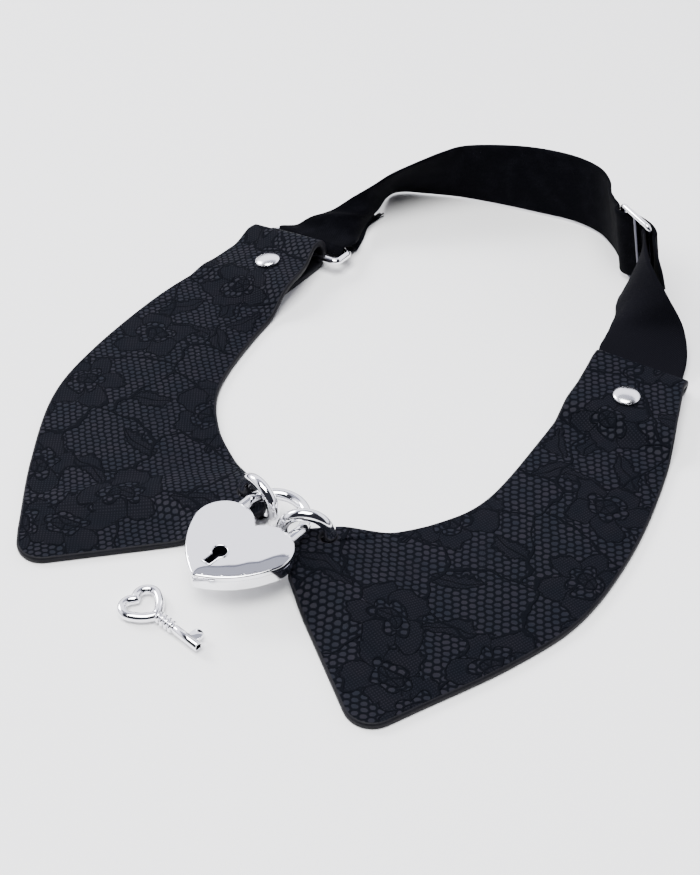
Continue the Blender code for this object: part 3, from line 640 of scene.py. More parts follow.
class LaceEffect(SharedEffect):
    """A generic floral lace: hexagonal net, flowers and leaves in cloth work, and cords."""

    NET_LENGTH = 4.2
    NET_HEIGHT = 1.95
    NET_WARP = 1.1
    MESH = 0.78
    MESH_TURN = 0.5
    WANDER = 11.0
    FLOWER_SPACING = 30.0
    FLOWER_RADIUS = 9.3
    FLOWER_SPREAD = 2.5
    PETALS = 5
    RUFFLES = 9.0  # to each half petal
    RUFFLE = 0.3
    INNER_SHARE = 0.5
    EYE_SHARE = 0.24
    LEAF_SPACING = 15.0
    LEAF_LENGTH = 7.2
    LEAF_WIDTH = 2.7
    LEAF_TEETH = 3.2
    LEAF_TOOTH = 0.22
    VINE_SPACING = 21.0

    def __init__(self) -> None:
        """Builds the group's nodes."""
        inputs = {"Flat": SocketKind.VECTOR}
        inputs |= {"Net Turn": SocketKind.NUMBER, "Net Scale": SocketKind.NUMBER}
        super().__init__("floral_lace", inputs, ["Cover", "Height"])
        level = (1.0, 1.0, 0.0)
        flat = self.vector("MULTIPLY", self.read(self.inside, "Flat"), level)
        wander = (self.WANDER, self.WANDER, 0.0)
        bent = self.vector("MULTIPLY", self.shaken(flat, 0.085, 1.5), wander)
        bent = self.vector("ADD", flat, bent)
        petals, flower, flower_cord = self.flowers(bent)
        leaves, leaf_cord = self.leaves(bent)
        clear = 1.0 - flower
        cloth = self.most(petals, leaves * clear)
        cord = self.most(flower_cord, leaf_cord * clear, self.vines(bent) * clear)
        dense = self.cloth_mesh(flat) * 0.42 + 0.42
        cover = self.net(flat) * (1.0 - cloth) + dense * cloth
        cover = self.most(cover, cord)
        self.fill(self.outside, Cover=cover, Height=cord * 0.9 + cover * 0.6)

    def motif(self, bent: Signal, spacing: float, randomness: float) -> tuple[Signal, ...]:
        """Scatters motif centres.

        Args:
            bent: The wandering flat place.
            spacing: The distance between centres in millimetres.
            randomness: How far they leave a square lattice.

        Returns:
            The place from the nearest centre, turned at random; and two random numbers.
        """
        cell = self.cells(bent, 1.0 / spacing, feature="F1", voronoi_dimensions="2D")
        self.fill(cell, Randomness=randomness)
        local = self.vector("SUBTRACT", bent, self.read(cell, "Position"))
        local = self.vector("MULTIPLY", local, (1.0, 1.0, 0.0))
        first, second, third = self.split(self.read(cell, "Color"))
        return self.turn(local, first * math.tau), second, third

    def line(self, distance: Signal, half_width: float) -> Signal:
        """A cord where a distance is near zero."""
        near = self.math("ABSOLUTE", distance)
        return self.band(near, half_width + 0.16, half_width - 0.1)

    def flowers(self, bent: Signal) -> tuple[Signal, ...]:
        """Open flowers with lobed petals.

        Returns:
            The masks of the petals' cloth work, the whole flower, and its cords.
        """
        local, _, size = self.motif(bent, self.FLOWER_SPACING, 0.7)
        x, y, _ = self.split(local)
        out = self.vector("LENGTH", local)
        angle = self.math("ARCTAN2", y, x) * (self.PETALS / 2)
        lobe = self.math("ABSOLUTE", self.math("COSINE", angle))
        radius = size * self.FLOWER_SPREAD + self.FLOWER_RADIUS
        reach = (self.math("POWER", lobe, 0.7) * 0.4 + 0.6) * radius
        edge = out - reach + self.math("SINE", angle * self.RUFFLES) * self.RUFFLE
        inner = reach * -self.INNER_SHARE + out
        eye = radius * -self.EYE_SHARE + out
        whole = self.band(edge, 0.15, -0.15)
        petals = self.most(whole * self.band(inner, -0.2, 0.2), self.band(eye, 0.2, -0.2))
        seams = self.line(lobe * out, 0.45) * petals
        rims = [self.line(edge, 0.3), self.line(inner, 0.24), self.line(eye, 0.24)]
        return petals, whole, self.most(seams, *rims)

    def leaves(self, bent: Signal) -> tuple[Signal, Signal]:
        """Pointed leaves with a middle vein.

        Returns:
            The masks of the leaves and of their cords.
        """
        local, chance, _ = self.motif(bent, self.LEAF_SPACING, 0.95)
        x, y, _ = self.split(local)
        share = x * (1.0 / self.LEAF_LENGTH)
        wide = share * share * -self.LEAF_WIDTH + self.LEAF_WIDTH
        wide = wide + self.math("SINE", x * self.LEAF_TEETH) * self.LEAF_TOOTH
        edge = self.math("ABSOLUTE", y) - wide
        grows = self.band(chance, 0.24, 0.3)
        leaf = self.band(edge, 0.12, -0.12) * grows
        return leaf, self.most(self.line(y, 0.14) * leaf, self.line(edge, 0.24) * grows)

    def vines(self, bent: Signal) -> Signal:
        """Stems that wander between the motifs."""
        kind = {"feature": "DISTANCE_TO_EDGE", "voronoi_dimensions": "2D"}
        cell = self.cells(bent, 1.0 / self.VINE_SPACING, **kind)
        return self.line(self.read(cell, "Distance") * self.VINE_SPACING, 0.3)

    def net(self, flat: Signal) -> Signal:
        """The threads of the hexagonal net."""
        shift = self.vector("SCALE", self.shaken(flat, 0.22, 1.0), self.NET_WARP)
        place = self.vector("ADD", flat, shift)
        place = self.turn(place, self.read(self.inside, "Net Turn"))
        place = self.vector("SCALE", place, self.read(self.inside, "Net Scale"))
        size = Vector((self.NET_LENGTH, self.NET_HEIGHT, 1.0))
        unit = self.vector("DIVIDE", place, size)
        half = size.xy / 2
        slope = half.normalized()
        depths = []
        for offset in (0.0, 0.5):
            cell = self.vector("FRACTION", self.vector("ADD", unit, (offset, offset, 0.0)))
            cell = self.vector("SUBTRACT", cell, (0.5, 0.5, 0.0))
            cell = self.vector("ABSOLUTE", self.vector("MULTIPLY", cell, size))
            slant = half.length / 2 - self.vector("DOT_PRODUCT", cell, (*slope, 0.0))
            level = half.y - self.split(cell)[1]
            depths.append(self.math("SMOOTH_MIN", slant, level, 0.55))
        return self.band(self.most(*depths), 0.46, 0.16)

    def cloth_mesh(self, flat: Signal) -> Signal:
        """The fine square mesh inside the cloth work."""
        threads = []
        for part in self.split(self.turn(flat, self.MESH_TURN))[:2]:
            wave = self.math("SINE", part * (math.tau / self.MESH))
            threads.append(self.band(wave, -0.3, 0.6))
        return self.most(*threads)


# ---------------------------------------------------------------- finishes
class Coat(NodeSheet):
    """A material's nodes, which end in its Principled shader."""

    def __init__(self, name: str) -> None:
        """Starts the material."""
        self.material = bpy.data.materials.new(name)
        self.material.use_nodes = True
        super().__init__(self.material.node_tree)

    def flat_place(self) -> Signal:
        """The place on the flat cut, in millimetres."""
        node = self.add("ShaderNodeUVMap", uv_map=FLAT_MAP)
        return self.vector("SCALE", self.read(node, "UV"), MAP_MILLIMETRES)

    def object_place(self) -> Signal:
        """The place in space, in millimetres."""
        node = self.add("ShaderNodeTexCoord")
        return self.vector("SCALE", self.read(node, "Object"), 1 / MILLIMETRE)

    def bumped(self, height: Signal, depth: float) -> Signal:
        """Turns a height into a bumped normal; depth is what one unit of it measures."""
        node = self.add("ShaderNodeBump")
        self.fill(node, Distance=depth * MILLIMETRE, Strength=1.0, Height=height)
        return self.read(node, "Normal")

    def paint(self, **inputs: Feed) -> Material:
        """Feeds the shader's inputs and returns the finished material."""
        self.fill(self.tree.nodes["Principled BSDF"], **inputs)
        return self.material


class Effects:
    """The shared node groups."""

    def __init__(self) -> None:
        """Builds each group once."""
        self.grain = GrainEffect().tree
        self.lint = LintEffect().tree
        self.scratch = ScratchEffect().tree
        self.lace = LaceEffect().tree


@dataclass(frozen=True)
class Palette:
    """The choker's colours."""

    leather: tuple = (0.0068, 0.0083, 0.0126, 1.0)
    leather_light: tuple = (0.0118, 0.0112, 0.0158, 1.0)
    thread: tuple = (0.0020, 0.0025, 0.0042, 1.0)
    rim: tuple = (0.0032, 0.0032, 0.0048, 1.0)
    rim_light: tuple = (0.0072, 0.0070, 0.0096, 1.0)
    strap: tuple = (0.0016, 0.0017, 0.0027, 1.0)
    # the strap's lighter colour: random wear, and on the short strap also painted light
    strap_wear_and_painted_light: tuple = (0.0050, 0.0050, 0.0074, 1.0)
    lint: tuple = (0.016, 0.017, 0.021, 1.0)
    chrome: tuple = (0.90, 0.90, 0.925, 1.0)
    chrome_dull: tuple = (0.78, 0.78, 0.82, 1.0)
    # painted shade: the dark chrome of the slider's uprights and middle bar
    painted_shade: tuple = (0.07, 0.07, 0.09, 1.0)
    floor: tuple = (0.93, 0.93, 0.93, 1.0)
    floor_shade: tuple = (0.93 * 0.985, 0.93 * 0.985, 0.93 * 0.985, 1.0)


@dataclass(frozen=True)
class LaceFinish:
    """Leather under black lace."""

    name: str
    net_turn: float  # degrees
    net_scale: float = 1.0

    def make(self, effects: Effects, colours: Palette) -> Material:
        """Builds the material.

        Args:
            effects: The shared effects.
            colours: The colours.

        Returns:
            The material.
        """
        coat = Coat(self.name)
        place = coat.flat_place()
        net = {"Net_Turn": math.radians(self.net_turn), "Net_Scale": self.net_scale}
        lace = coat.group(effects.lace, Flat=place, **net)
        grain = coat.group(effects.grain, Place=place, Pebbles=1.6)
        dust = coat.group(effects.lint, Place=place, Spread=0.42)["Specks"] * 0.25
        tone = coat.band(grain["Tone"], 0.45, 0.95)
        leather = coat.mix(tone, colours.leather, colours.leather_light)
        colour = coat.mix(lace["Cover"], leather, colours.thread)
        return coat.paint(
            Base_Color=coat.mix(dust, colour, colours.lint),
            Roughness=coat.band(lace["Cover"], 0.1, 0.8, 0.46, 0.8),
            Specular_IOR_Level=0.03,
            Normal=coat.bumped(grain["Height"] * 0.18 + lace["Height"], 0.28),
        )


@dataclass(frozen=True)
class RimFinish:
    """The cut and burnished edge of the leather, and its plain back."""

    name: str

    def make(self, effects: Effects, colours: Palette) -> Material:
        """Builds the material from the shared effects and the colours."""
        coat = Coat(self.name)
        grain = coat.group(effects.grain, Place=coat.object_place(), Pebbles=2.4)
        tone = coat.band(grain["Tone"], 0.4, 0.95)
        return coat.paint(
            Base_Color=coat.mix(tone, colours.rim, colours.rim_light),
            Roughness=coat.band(grain["Tone"], 0.3, 1.0, 0.42, 0.62),
            Specular_IOR_Level=0.08,
            Normal=coat.bumped(grain["Height"], 0.05),
        )


@dataclass(frozen=True)
class StrapFinish:
    """Black woven strap with a short nap."""

    name: str
    painted_light_share: float = 0.0  # the least share of the lighter colour; above zero it lightens the whole strap as painted light
    rib: float = 0.62

    def make(self, effects: Effects, colours: Palette) -> Material:
        """Builds the material from the shared effects and the colours."""
        coat = Coat(self.name)
        place = coat.flat_place()
        along, across, _ = coat.split(place)
        weft = coat.math("SINE", along * (math.tau / self.rib))
        warp = coat.math("SINE", across * (math.tau / (self.rib * 1.4)))
        weave = weft * warp * 0.25 + 0.5
        nap = coat.noise(place, 2.2, 5.0)
        blotch = coat.noise(place, 0.17, 3.0)
        wear_and_painted_light = coat.band(blotch, 0.42, 0.72) * coat.band(nap, 0.35, 0.7)
        # painted light: the least share lifts the whole strap towards the lighter colour
        wear_and_painted_light = coat.most(wear_and_painted_light, nap * 0.6 + (self.painted_light_share - 0.3))
        colour = coat.mix(wear_and_painted_light, colours.strap, colours.strap_wear_and_painted_light)
        dust = coat.group(effects.lint, Place=place, Spread=0.5)["Specks"] * 0.3
        return coat.paint(
            Base_Color=coat.mix(dust, colour, colours.lint),
            Roughness=coat.band(nap, 0.3, 0.7, 0.78, 0.95),
            Specular_IOR_Level=0.02,
            Sheen_Weight=0.01,
            Sheen_Roughness=0.35,
            Normal=coat.bumped(nap * 0.8 + weave, 0.16),
        )


@dataclass(frozen=True)
class ChromeFinish:
    """Bright plated metal with faint polish marks."""

    name: str
    roughness: float
    ripple: float  # millimetres

    def make(self, effects: Effects, colours: Palette) -> Material:
        """Builds the material from the shared effects and the colours."""
        coat = Coat(self.name)
        marks = coat.group(effects.scratch, Place=coat.object_place())
        return coat.paint(
            Base_Color=coat.mix(marks["Haze"], colours.chrome, colours.chrome_dull),
            Roughness=marks["Haze"] * 0.16 + self.roughness,
            Metallic=1.0,
            Normal=coat.bumped(marks["Height"], self.ripple),
        )


class Finishes:
    """Every material of the choker."""

    def __init__(self) -> None:
        """Makes the materials from the shared effects."""
        self.colours = colours = Palette()
        painted_shade = replace(colours, chrome=colours.painted_shade, chrome_dull=colours.painted_shade)
        common = (Effects(), colours)
        self.lace = {
            Side.RIGHT: LaceFinish("lace_right", -24.0).make(*common),
            Side.LEFT: LaceFinish("lace_left", 40.0, 1.14).make(*common),
        }
        self.rim = RimFinish("leather_rim").make(*common)
        self.strap = StrapFinish("strap_weave").make(*common)
        # painted light: the short strap gets a lighter copy of the weave
        self.short_strap = StrapFinish("short_strap_weave_painted_light", 0.55).make(*common)
        self.chrome = ChromeFinish("chrome", 0.07, 0.05).make(*common)
        # painted shade: a dark copy of the chrome for the slider's uprights and middle bar
        self.bar = ChromeFinish("slider_painted_shade", 0.25, 0.03).make(common[0], painted_shade)
        self.rivet = ChromeFinish("rivet_cap", 0.2, 0.03).make(*common)
        self.heart = ChromeFinish("heart_plate", 0.05, 0.12).make(*common)
        # painted shade: this dark finish stands for the shade in the keyhole, the shackle's
        # sockets and the key's bore; on the frayed threads it is their own black
        dark = Coat("painted_shade_and_thread_black")
        self.dark = dark.paint(Base_Color=colours.thread, Specular_IOR_Level=0.1)


# ---------------------------------------------------------------- collar panels
class PanelPlan(NamedTuple):
    """What differs between the two panels, each drawn as the right one."""

    round_ring: Vector
    front_corner: Vector
    outer_edge: list
    neck_edge: list
    tab: Vector  # the middle of the fold's bend
    tab_turn: float
    bend: float  # the free radius inside the fold
    tab_base: float  # how far the folded-under tab lies above the table
    rivet: tuple  # sideways and forwards from the bend
    strip: float  # how far the folded strip reaches outwards from the tab's middle
    lean: float = 0.0  # degrees by which the tab rises towards the neck
    lean_axis: float = 0.0  # how far outwards it neither rises nor sinks


PLANS = {
    Side.RIGHT: PanelPlan(
        round_ring=Vector((12.6, 44.4)),
        front_corner=Vector((52.8, -3.2)),
        outer_edge=[
            *((61.0, 9.8), (76.4, 34.6), (85.9, 57.0)),
            *((88.6, 86.0), (86.2, 116.0), (81.8, 137.0)),
        ],
        neck_edge=[
            *((50.6, 137.0), (49.7, 113.0), (46.6, 84.0)),
            *((38.1, 68.5), (25.2, 56.3), (17.3, 50.7)),
        ],
        tab=Vector((64.6, 151.6)),
        tab_turn=-2.0,
        bend=0.4,
        tab_base=STRAP + 1.5 * GAP,
        rivet=(1.7, 14.6),
        strip=14.5,
    ),
    Side.LEFT: PanelPlan(
        round_ring=Vector((7.4, 43.6)),
        front_corner=Vector((54.9, -1.7)),
        outer_edge=[
            *((61.9, 8.8), (75.0, 31.6), (86.2, 57.0)),
            *((88.8, 80.0), (86.4, 112.0), (80.6, 137.0)),
        ],
        neck_edge=[
            *((48.4, 137.0), (48.6, 108.0), (45.4, 84.0)),
            *((36.2, 68.8), (23.4, 58.0), (14.0, 50.8)),
        ],
        tab=Vector((62.9, 152.7)),
        tab_turn=8.5,
        bend=SIDE_RING_WIRE + 1.8 * GAP,
        tab_base=0.0,
        rivet=(-2.9, 12.8),
        strip=7.2,
        lean=9.2,
        lean_axis=7.0,
    ),
}
# From the round ring's centre out of the end of the right panel's nose.
NOSE_WAY = turned(Vector((-1.0, 0.0)), RING_FAN)


@dataclass
class CollarPanel:
    """A stiff leather panel faced with lace, its tab folded under and riveted."""

    side: Side
    finishes: Finishes
    front_middle: tuple = (23.8, 22.8)
    front_radius: float = 7.5
    nose_radius: float = 3.5
    nose_end: float = 3.0
    nose_lift: float = 4.8
    nose_flat: float = 8.5
    nose_fade: float = 25.0
    tab_half: float = 14.5
    tab_length: float = 22.0
    tab_taper: float = 1.0
    tab_radius: float = 3.0
    tab_start: float = -2.0  # where the tab's straight sides begin, from the bend
    rise: float = 9.0
    loop_rise: float = 9.5
    shoulder: float = 1.0
    lean_start: float = 34.0
    lean_length: float = 18.0
    lean_bulge: float = 0.2
    rim: float = 0.62
    ring_hole: float = 2.0
    ring_setback: float = 5.8
    rivet_hole: float = 1.7
    # Where the mesh is cut finer: the least and the greatest X and Y.
    bend_region: tuple = ((0.0, 80.0), (140.0, 240.0))
    tab_region: tuple = ((0.0, 118.0), (140.0, 240.0))
    nose_region: tuple = ((-20.0, 0.0), (40.0, 75.0))
    rise_cuts: int = 8
    bend_cuts: int = 18
    lean_cuts: int = 10
    tab_cuts: int = 9
    tab_step: float = 3.4
    nose_step: float = 1.6

    def __post_init__(self) -> None:
        """Looks the plan up."""
        self.plan = PLANS[self.side]
        self.across = turned(Vector((1.0, 0.0)), self.plan.tab_turn)
        self.back = turned(Vector((0.0, 1.0)), self.plan.tab_turn)
        self.bend_radius = self.plan.bend + LEATHER / 2
        self.bend_length = math.pi * self.bend_radius
        self.bend_height = self.plan.tab_base + LEATHER / 2 + self.bend_radius

    def on_tab(self, sideways: float, backward: float) -> Vector:
        """A point of the flat cut, outwards from and behind the middle of the bend's start."""
        return self.plan.tab + self.across * sideways + self.back * backward

    def rivet_spot(self) -> Vector:
        """Where the rivet goes through the folded tab, drawn for the right side."""
        sideways, forwards = self.plan.rivet
        return self.on_tab(sideways, -forwards)

    def outline(self) -> list[Vector]:
        """The flat cut, with the tab still unfolded behind it."""
        plan = self.plan
        end_middle = plan.round_ring + NOSE_WAY * self.nose_end
        end_way = Vector((-NOSE_WAY.y, NOSE_WAY.x))
        front_way = (Vector(self.front_middle) - plan.front_corner).normalized()
        front_nose = crossing(plan.front_corner, front_way, end_middle, end_way)
        neck = smooth_through(plan.neck_edge, CURVE_STEPS)
        neck_way = (neck[-1] - neck[-5]).normalized()
        neck_nose = crossing(neck[-1], neck_way, end_middle, end_way)
        narrow = self.tab_half - self.tab_taper
        end = self.bend_length + self.tab_length
        tab_outer = [self.on_tab(self.tab_half, self.tab_start)]
        if plan.strip < self.tab_half:
            tab_outer += [self.on_tab(reach, self.shoulder) for reach in (narrow, plan.strip)]
        tab_outer.append(self.on_tab(plan.strip, self.bend_length))
        inner = -(narrow if plan.lean else self.tab_half)
        tab_inner = [self.on_tab(inner, along) for along in (self.bend_length, self.tab_start)]
        end_outer = self.on_tab(plan.strip - self.tab_taper, end)
        end_inner = self.on_tab(-narrow, end)
        line = rounded_corner(
            front_nose, plan.front_corner, plan.outer_edge[0], self.front_radius
        )
        line += smooth_through(plan.outer_edge, CURVE_STEPS)
        line += tab_outer
        line += rounded_corner(tab_outer[-1], end_outer, end_inner, self.tab_radius)
        line += rounded_corner(end_outer, end_inner, tab_inner[0], self.tab_radius)
        line += tab_inner
        line += neck
        line += rounded_corner(neck[-1], neck_nose, front_nose, self.nose_radius)
        line += rounded_corner(neck_nose, front_nose, plan.front_corner, self.nose_radius)
        return line

    def holes(self) -> list[list[Vector]]:
        """The flat cut's holes: the ring's, and the rivet's through both layers."""
        rivet = self.rivet_spot()
        lower = rivet + self.back * (2 * self.plan.rivet[1] + self.bend_length)
        ring = self.plan.round_ring - NOSE_WAY * self.ring_setback
        holes = [circle_points(self.ring_hole, 28, ring)]
        return holes + [circle_points(self.rivet_hole, 20, spot) for spot in (rivet, lower)]

    def tab_rise(self, sideways: float) -> float:
        """How much a leaning tab has risen at a distance outwards from its middle."""
        return (self.plan.lean_axis - sideways) * math.tan(math.radians(self.plan.lean))

    def profile(self, along: float, sideways: float) -> tuple[float, float]:
        """Mid-leather place (backward, up) of a point of the flat cut, from the bend's middle."""
        lie = LEATHER / 2
        base = self.plan.tab_base
        if along > self.bend_length:
            return self.bend_length - along, base + lie
        rise = self.tab_rise(sideways)
        if along > 0:
            angle = along / self.bend_radius
            radius = self.bend_radius + rise / 2
            height = base + lie + radius * (1 + math.cos(angle))
            depth = self.bend_radius + self.lean_bulge * rise
            return depth * math.sin(angle), max(height, lie)
        lap = base + LEATHER + GAP
        height = lie + lap * smoothstep((along + self.tab_length + self.rise) / self.rise)
        crest = self.bend_height + self.bend_radius - lie - lap
        height += crest * smoothstep((along + self.loop_rise) / self.loop_rise)
        height += rise * smoothstep((along + self.lean_start) / self.lean_length)
        return along, max(height, lie)

    def fold(self, mesh: BMesh) -> None:
        """Lifts the nose and folds the tab of the flat cut."""
        plan = self.plan
        fade = self.nose_fade - self.nose_flat
        for vert in mesh.verts:
            spot = vert.co.xy
            offset = vert.co.z - LEATHER / 2
            along = (spot - plan.tab).dot(self.back)
            sideways = (spot - plan.tab).dot(self.across)
            if along < -self.lean_start:
                away = (spot - plan.round_ring).length - self.nose_flat
                vert.co.z += self.nose_lift * (1 - smoothstep(away / fade))
                continue
            place, height = self.profile(along, sideways)
            if along > self.bend_length:
                height -= offset
            elif along > 0:
                angle = along / self.bend_radius
                place += offset * math.sin(angle)
                height += offset * math.cos(angle)
            else:
                height += offset
            vert.co = (*self.on_tab(sideways, place), height)

    def bend_slices(self, mesh: BMesh) -> None:
        """Cuts the edges along which the leather bends."""
        cuts = []
        for start, reach in ((-self.tab_length, self.rise), (0.0, self.loop_rise)):
            shares = [i / self.rise_cuts for i in range(self.rise_cuts + 1)]
            cuts += [start - reach * (1 - share) for share in shares]
        cuts += [self.bend_length * i / self.bend_cuts for i in range(self.bend_cuts + 1)]
        if self.plan.lean:
            shares = [(i + 0.5) / self.lean_cuts for i in range(self.lean_cuts)]
            cuts += [-self.lean_start + self.lean_length * share for share in shares]
        for cut in cuts:
            spot = self.plan.tab + self.back * cut
            slice_where(mesh, (*spot, 0.0), (*self.back, 0.0), self.bend_region)
        for i in range(self.tab_cuts):
            spot = self.plan.tab + self.across * (self.tab_step * (i - self.tab_cuts // 2))
            slice_where(mesh, (*spot, 0.0), (*self.across, 0.0), self.tab_region)
        for way, start, count in ((AXIS_X, -2.0, 26), (AXIS_Y, 18.0, 34)):
            for i in range(count):
                slice_where(mesh, way * (start + i * self.nose_step), way, self.nose_region)

    def build(self) -> Object:
        """Cuts, rounds, folds and dresses the panel.

        Returns:
            The finished panel.
        """
        mesh = plate(self.outline(), LEATHER, self.holes())
        round_rims(mesh, self.rim, 3)
        self.bend_slices(mesh)
        layer = mesh.loops.layers.uv.new(FLAT_MAP)
        mesh.normal_update()
        area = 0.0
        for face in mesh.faces:
            for loop in face.loops:
                loop[layer].uv = loop.vert.co.xy / MAP_MILLIMETRES
            top = face.normal.z > 0.98 and face.calc_center_median().z > LEATHER - 0.05
            face.material_index = 0 if top else 1
            area += face.calc_area() if top else 0.0
        points = [vert.co.xy.copy() for vert in mesh.verts]
        self.fold(mesh)
        if self.side is Side.LEFT:
            for vert in mesh.verts:
                vert.co = (*self.side.place(vert.co.xy), vert.co.z)
            bmesh.ops.reverse_faces(mesh, faces=mesh.faces)
        materials = [self.finishes.lace[self.side], self.finishes.rim]
        name = "panel_" + self.side.value
        made = settle("lace_" + name, mesh, materials, [name], 40.0)
        area * MILLIMETRE**2
        return made


@dataclass
class Rivet:
    """A domed rivet through a folded tab."""

    panel: CollarPanel
    finishes: Finishes
    cap: float = 4.0
    height: float = 1.7
    brim: float = 0.45
    post: float = 1.5

    def build(self) -> Object:
        """Turns the rivet and seats it on the leather.

        Returns:
            The finished rivet.
        """
        panel = self.panel
        sideways, forwards = panel.plan.rivet
        seat = panel.profile(-forwards, sideways)[1] + LEATHER / 2 + GAP
        crown = self.height - self.brim
        profile = [(0, 0), (self.cap - 0.12, 0), (self.cap, 0.1), (self.cap, 0.3)]
        for i in range(1, 14):
            angle = math.radians(90 * i / 14)
            height = self.brim + crown * math.sin(angle) ** 1.15
            profile.append((self.cap * math.cos(angle), height))
        profile.append((0, self.height))
        spot = panel.side.place(panel.rivet_spot())
        inward = panel.side.place(panel.rivet_spot() - panel.across) - spot
        tilt = (inward.y, -inward.x, 0.0)
        mesh = moved(lathed(profile, 56), (*spot, seat), panel.plan.lean, tilt)
        post = [Vector((*spot, GAP)), Vector((*spot, seat + self.height / 2))]
        absorb(mesh, wire(post, self.post, False, 24))
        name = "rivet_" + panel.side.value
        return settle("domed_" + name, mesh, [self.finishes.rivet], [name], 50.0)


# ---------------------------------------------------------------- wire hardware
@dataclass
class RoundRing:
    """The heavy round ring that stands in the nose of a panel."""

    side: Side
    finishes: Finishes
    radius: float = 6.3
    wire_radius: float = 1.7
    centre_height: float = 8.0
    steps: int = 96

    def build(self) -> Object:
        """Bends the ring and returns the finished piece."""
        plan = PLANS[self.side]
        centre = self.side.place(plan.round_ring)
        outward = self.side.place(plan.round_ring - NOSE_WAY) - centre
        path = []
        for i in range(self.steps):
            angle = math.tau * i / self.steps
            spot = centre + outward * (self.radius * math.cos(angle))
            path.append(Vector((*spot, self.centre_height + self.radius * math.sin(angle))))
        mesh = wire(path, self.wire_radius, True, 28)
        name = "round_ring_" + self.side.value
        return settle("chrome_" + name, mesh, [self.finishes.chrome], [name], 60.0)


@dataclass
class SideRing:
    """The flat wire ring in the left fold, whose second bar takes the strap."""

    finishes: Finishes
    panel: CollarPanel  # whose fold holds the ring
    length: float = 30.8
    spacing: float = 7.5
    drop: float = 0.9
    corner: float = 1.6
    slip: float = -5.5
    turn: float = -4.0
    lean: float = 0.6

    def spot(self, along: float, backward: float) -> Vector:
        """A point of the ring's wire, outwards from and behind the ring's own middle."""
        panel = self.panel
        offset = turned(Vector((along, backward)), self.turn)
        sideways = self.slip + offset.x
        plan = panel.on_tab(sideways, self.spacing / 2 + offset.y)
        height = panel.bend_height - self.drop * (0.5 + backward / self.spacing)
        height += self.lean * panel.tab_rise(sideways) / 2
        return Vector((*panel.side.place(plan), height))

    def build(self) -> Object:
        """Bends the ring, lays it in the fold and returns the finished piece."""
        half = self.length / 2 - SIDE_RING_WIRE
        corners = rounded_rectangle(half, self.spacing / 2, self.corner)
        path = [self.spot(point.x, point.y) for point in corners]
        mesh = wire(path, SIDE_RING_WIRE, True, 22)
        chrome = [self.finishes.chrome]
        return settle("chrome_side_ring", mesh, chrome, ["side_ring_left"], 60.0)


@dataclass
class Slider:
    """The upright slider: a rounded wire frame with a middle bar."""

    finishes: Finishes
    centre: tuple = (48.6, 196.8)
    lean: tuple = (-3.9, -4.8)
    turn: float = -34.8
    wire_radius: float = 0.85
    bar_spacing: float = 7.0
    base: float = 0.2
    corner: float = 1.5
    height: float = 29.4

    def spot(self, along: float, outward: float, height: float) -> Vector:
        """A point in the slider's own directions: along its rails, away from the neck, and up."""
        plan = Vector(self.centre) + turned(Vector((along, outward)), self.turn)
        plan += Vector(self.lean) * (height / self.height)
        return Vector((*plan, height))

    def build(self) -> Object:
        """Bends the frame and adds its middle bar; all but the top rail gets a dark copy of the
        chrome as painted shade.

        Returns:
            The finished slider.
        """
        half = self.height / 2 - self.wire_radius
        middle = self.base + self.height / 2
        corners = rounded_rectangle(self.bar_spacing, half, self.corner)
        path = [self.spot(point.x, 0.0, middle + point.y) for point in corners]
        mesh = wire(path, self.wire_radius, True, 20)
        bar = [self.spot(0.0, 0.0, middle + half * share) for share in (-1, -0.5, 0, 0.5, 1)]
        absorb(mesh, wire(bar, self.wire_radius, False, 20))
        # painted shade: the faces below the top rail get the dark chrome
        for face in mesh.faces:
            low = face.calc_center_median().z < middle + half - self.wire_radius
            face.material_index = 1 if low else 0
        materials = [self.finishes.chrome, self.finishes.bar]
        return settle("chrome_slider", mesh, materials, ["slider"], 60.0)


# ---------------------------------------------------------------- straps
class StrapRow(NamedTuple):
    """One cross-section of a strap: its two edges and how far its middle arches out."""

    low: tuple
    high: tuple
    arch: float = 0.0


# The long strap's cut end under itself, behind the left ring.
FRAYED_END = [
    StrapRow((-42.4, 190.6, 0.7), (-61.6, 177.6, 0.7)),
    StrapRow((-43.4, 184.6, 0.7), (-63.8, 173.8, 0.7)),
    StrapRow((-41.6, 177.6, 0.7), (-65.4, 171.8, 0.7)),
    StrapRow((-40.4, 171.0, 0.7), (-66.0, 170.0, 0.7)),
]
# From the left ring the strap arches like a tent while its outer edge rises.
LEFT_TWIST = [
    StrapRow((-40.0, 169.6, 4.4), (-62.4, 168.4, 4.4), 2.0),
    StrapRow((-42.2, 176.6, 2.4), (-58.4, 171.4, 7.2), 5.0),
    StrapRow((-44.4, 187.0, 2.1), (-52.0, 175.6, 10.0), 5.5),
    StrapRow((-45.8, 195.5, 1.6), (-47.5, 180.3, 13.2), 4.0),
    StrapRow((-46.6, 202.5, 0.8), (-42.7, 185.2, 16.2), 2.0),
    StrapRow((-45.4, 206.8, 0.7), (-38.6, 190.2, 19.0), 0.6),
    StrapRow((-41.6, 209.6, 0.7), (-34.5, 195.0, 20.8)),
    StrapRow((-36.4, 211.4, 0.7), (-30.6, 199.8, 22.2)),
    StrapRow((-30.6, 213.4, 0.7), (-26.4, 204.0, 23.8)),
    StrapRow((-22.6, 215.6, 0.7), (-20.8, 210.2, 24.6)),
    StrapRow((-9.6, 217.8, 0.7), (-8.4, 215.8, 25.4)),
]
# Round the back of the neck, the strap stands on its edge and leans in towards the slider.
BACK_CURVE = [
    StrapRow((3.0, 219.3, 0.7), (3.0, 218.8, 25.8)),
    StrapRow((15.5, 220.3, 0.7), (14.4, 219.6, 25.8)),
    StrapRow((25.6, 218.2, 0.7), (23.2, 217.2, 25.8)),
    StrapRow((32.4, 213.2, 0.7), (28.6, 212.0, 25.8)),
    StrapRow((37.2, 207.6, 1.0), (31.0, 206.2, 26.2)),
    StrapRow((39.8, 203.8, 1.8), (34.4, 201.0, 27.0)),
]
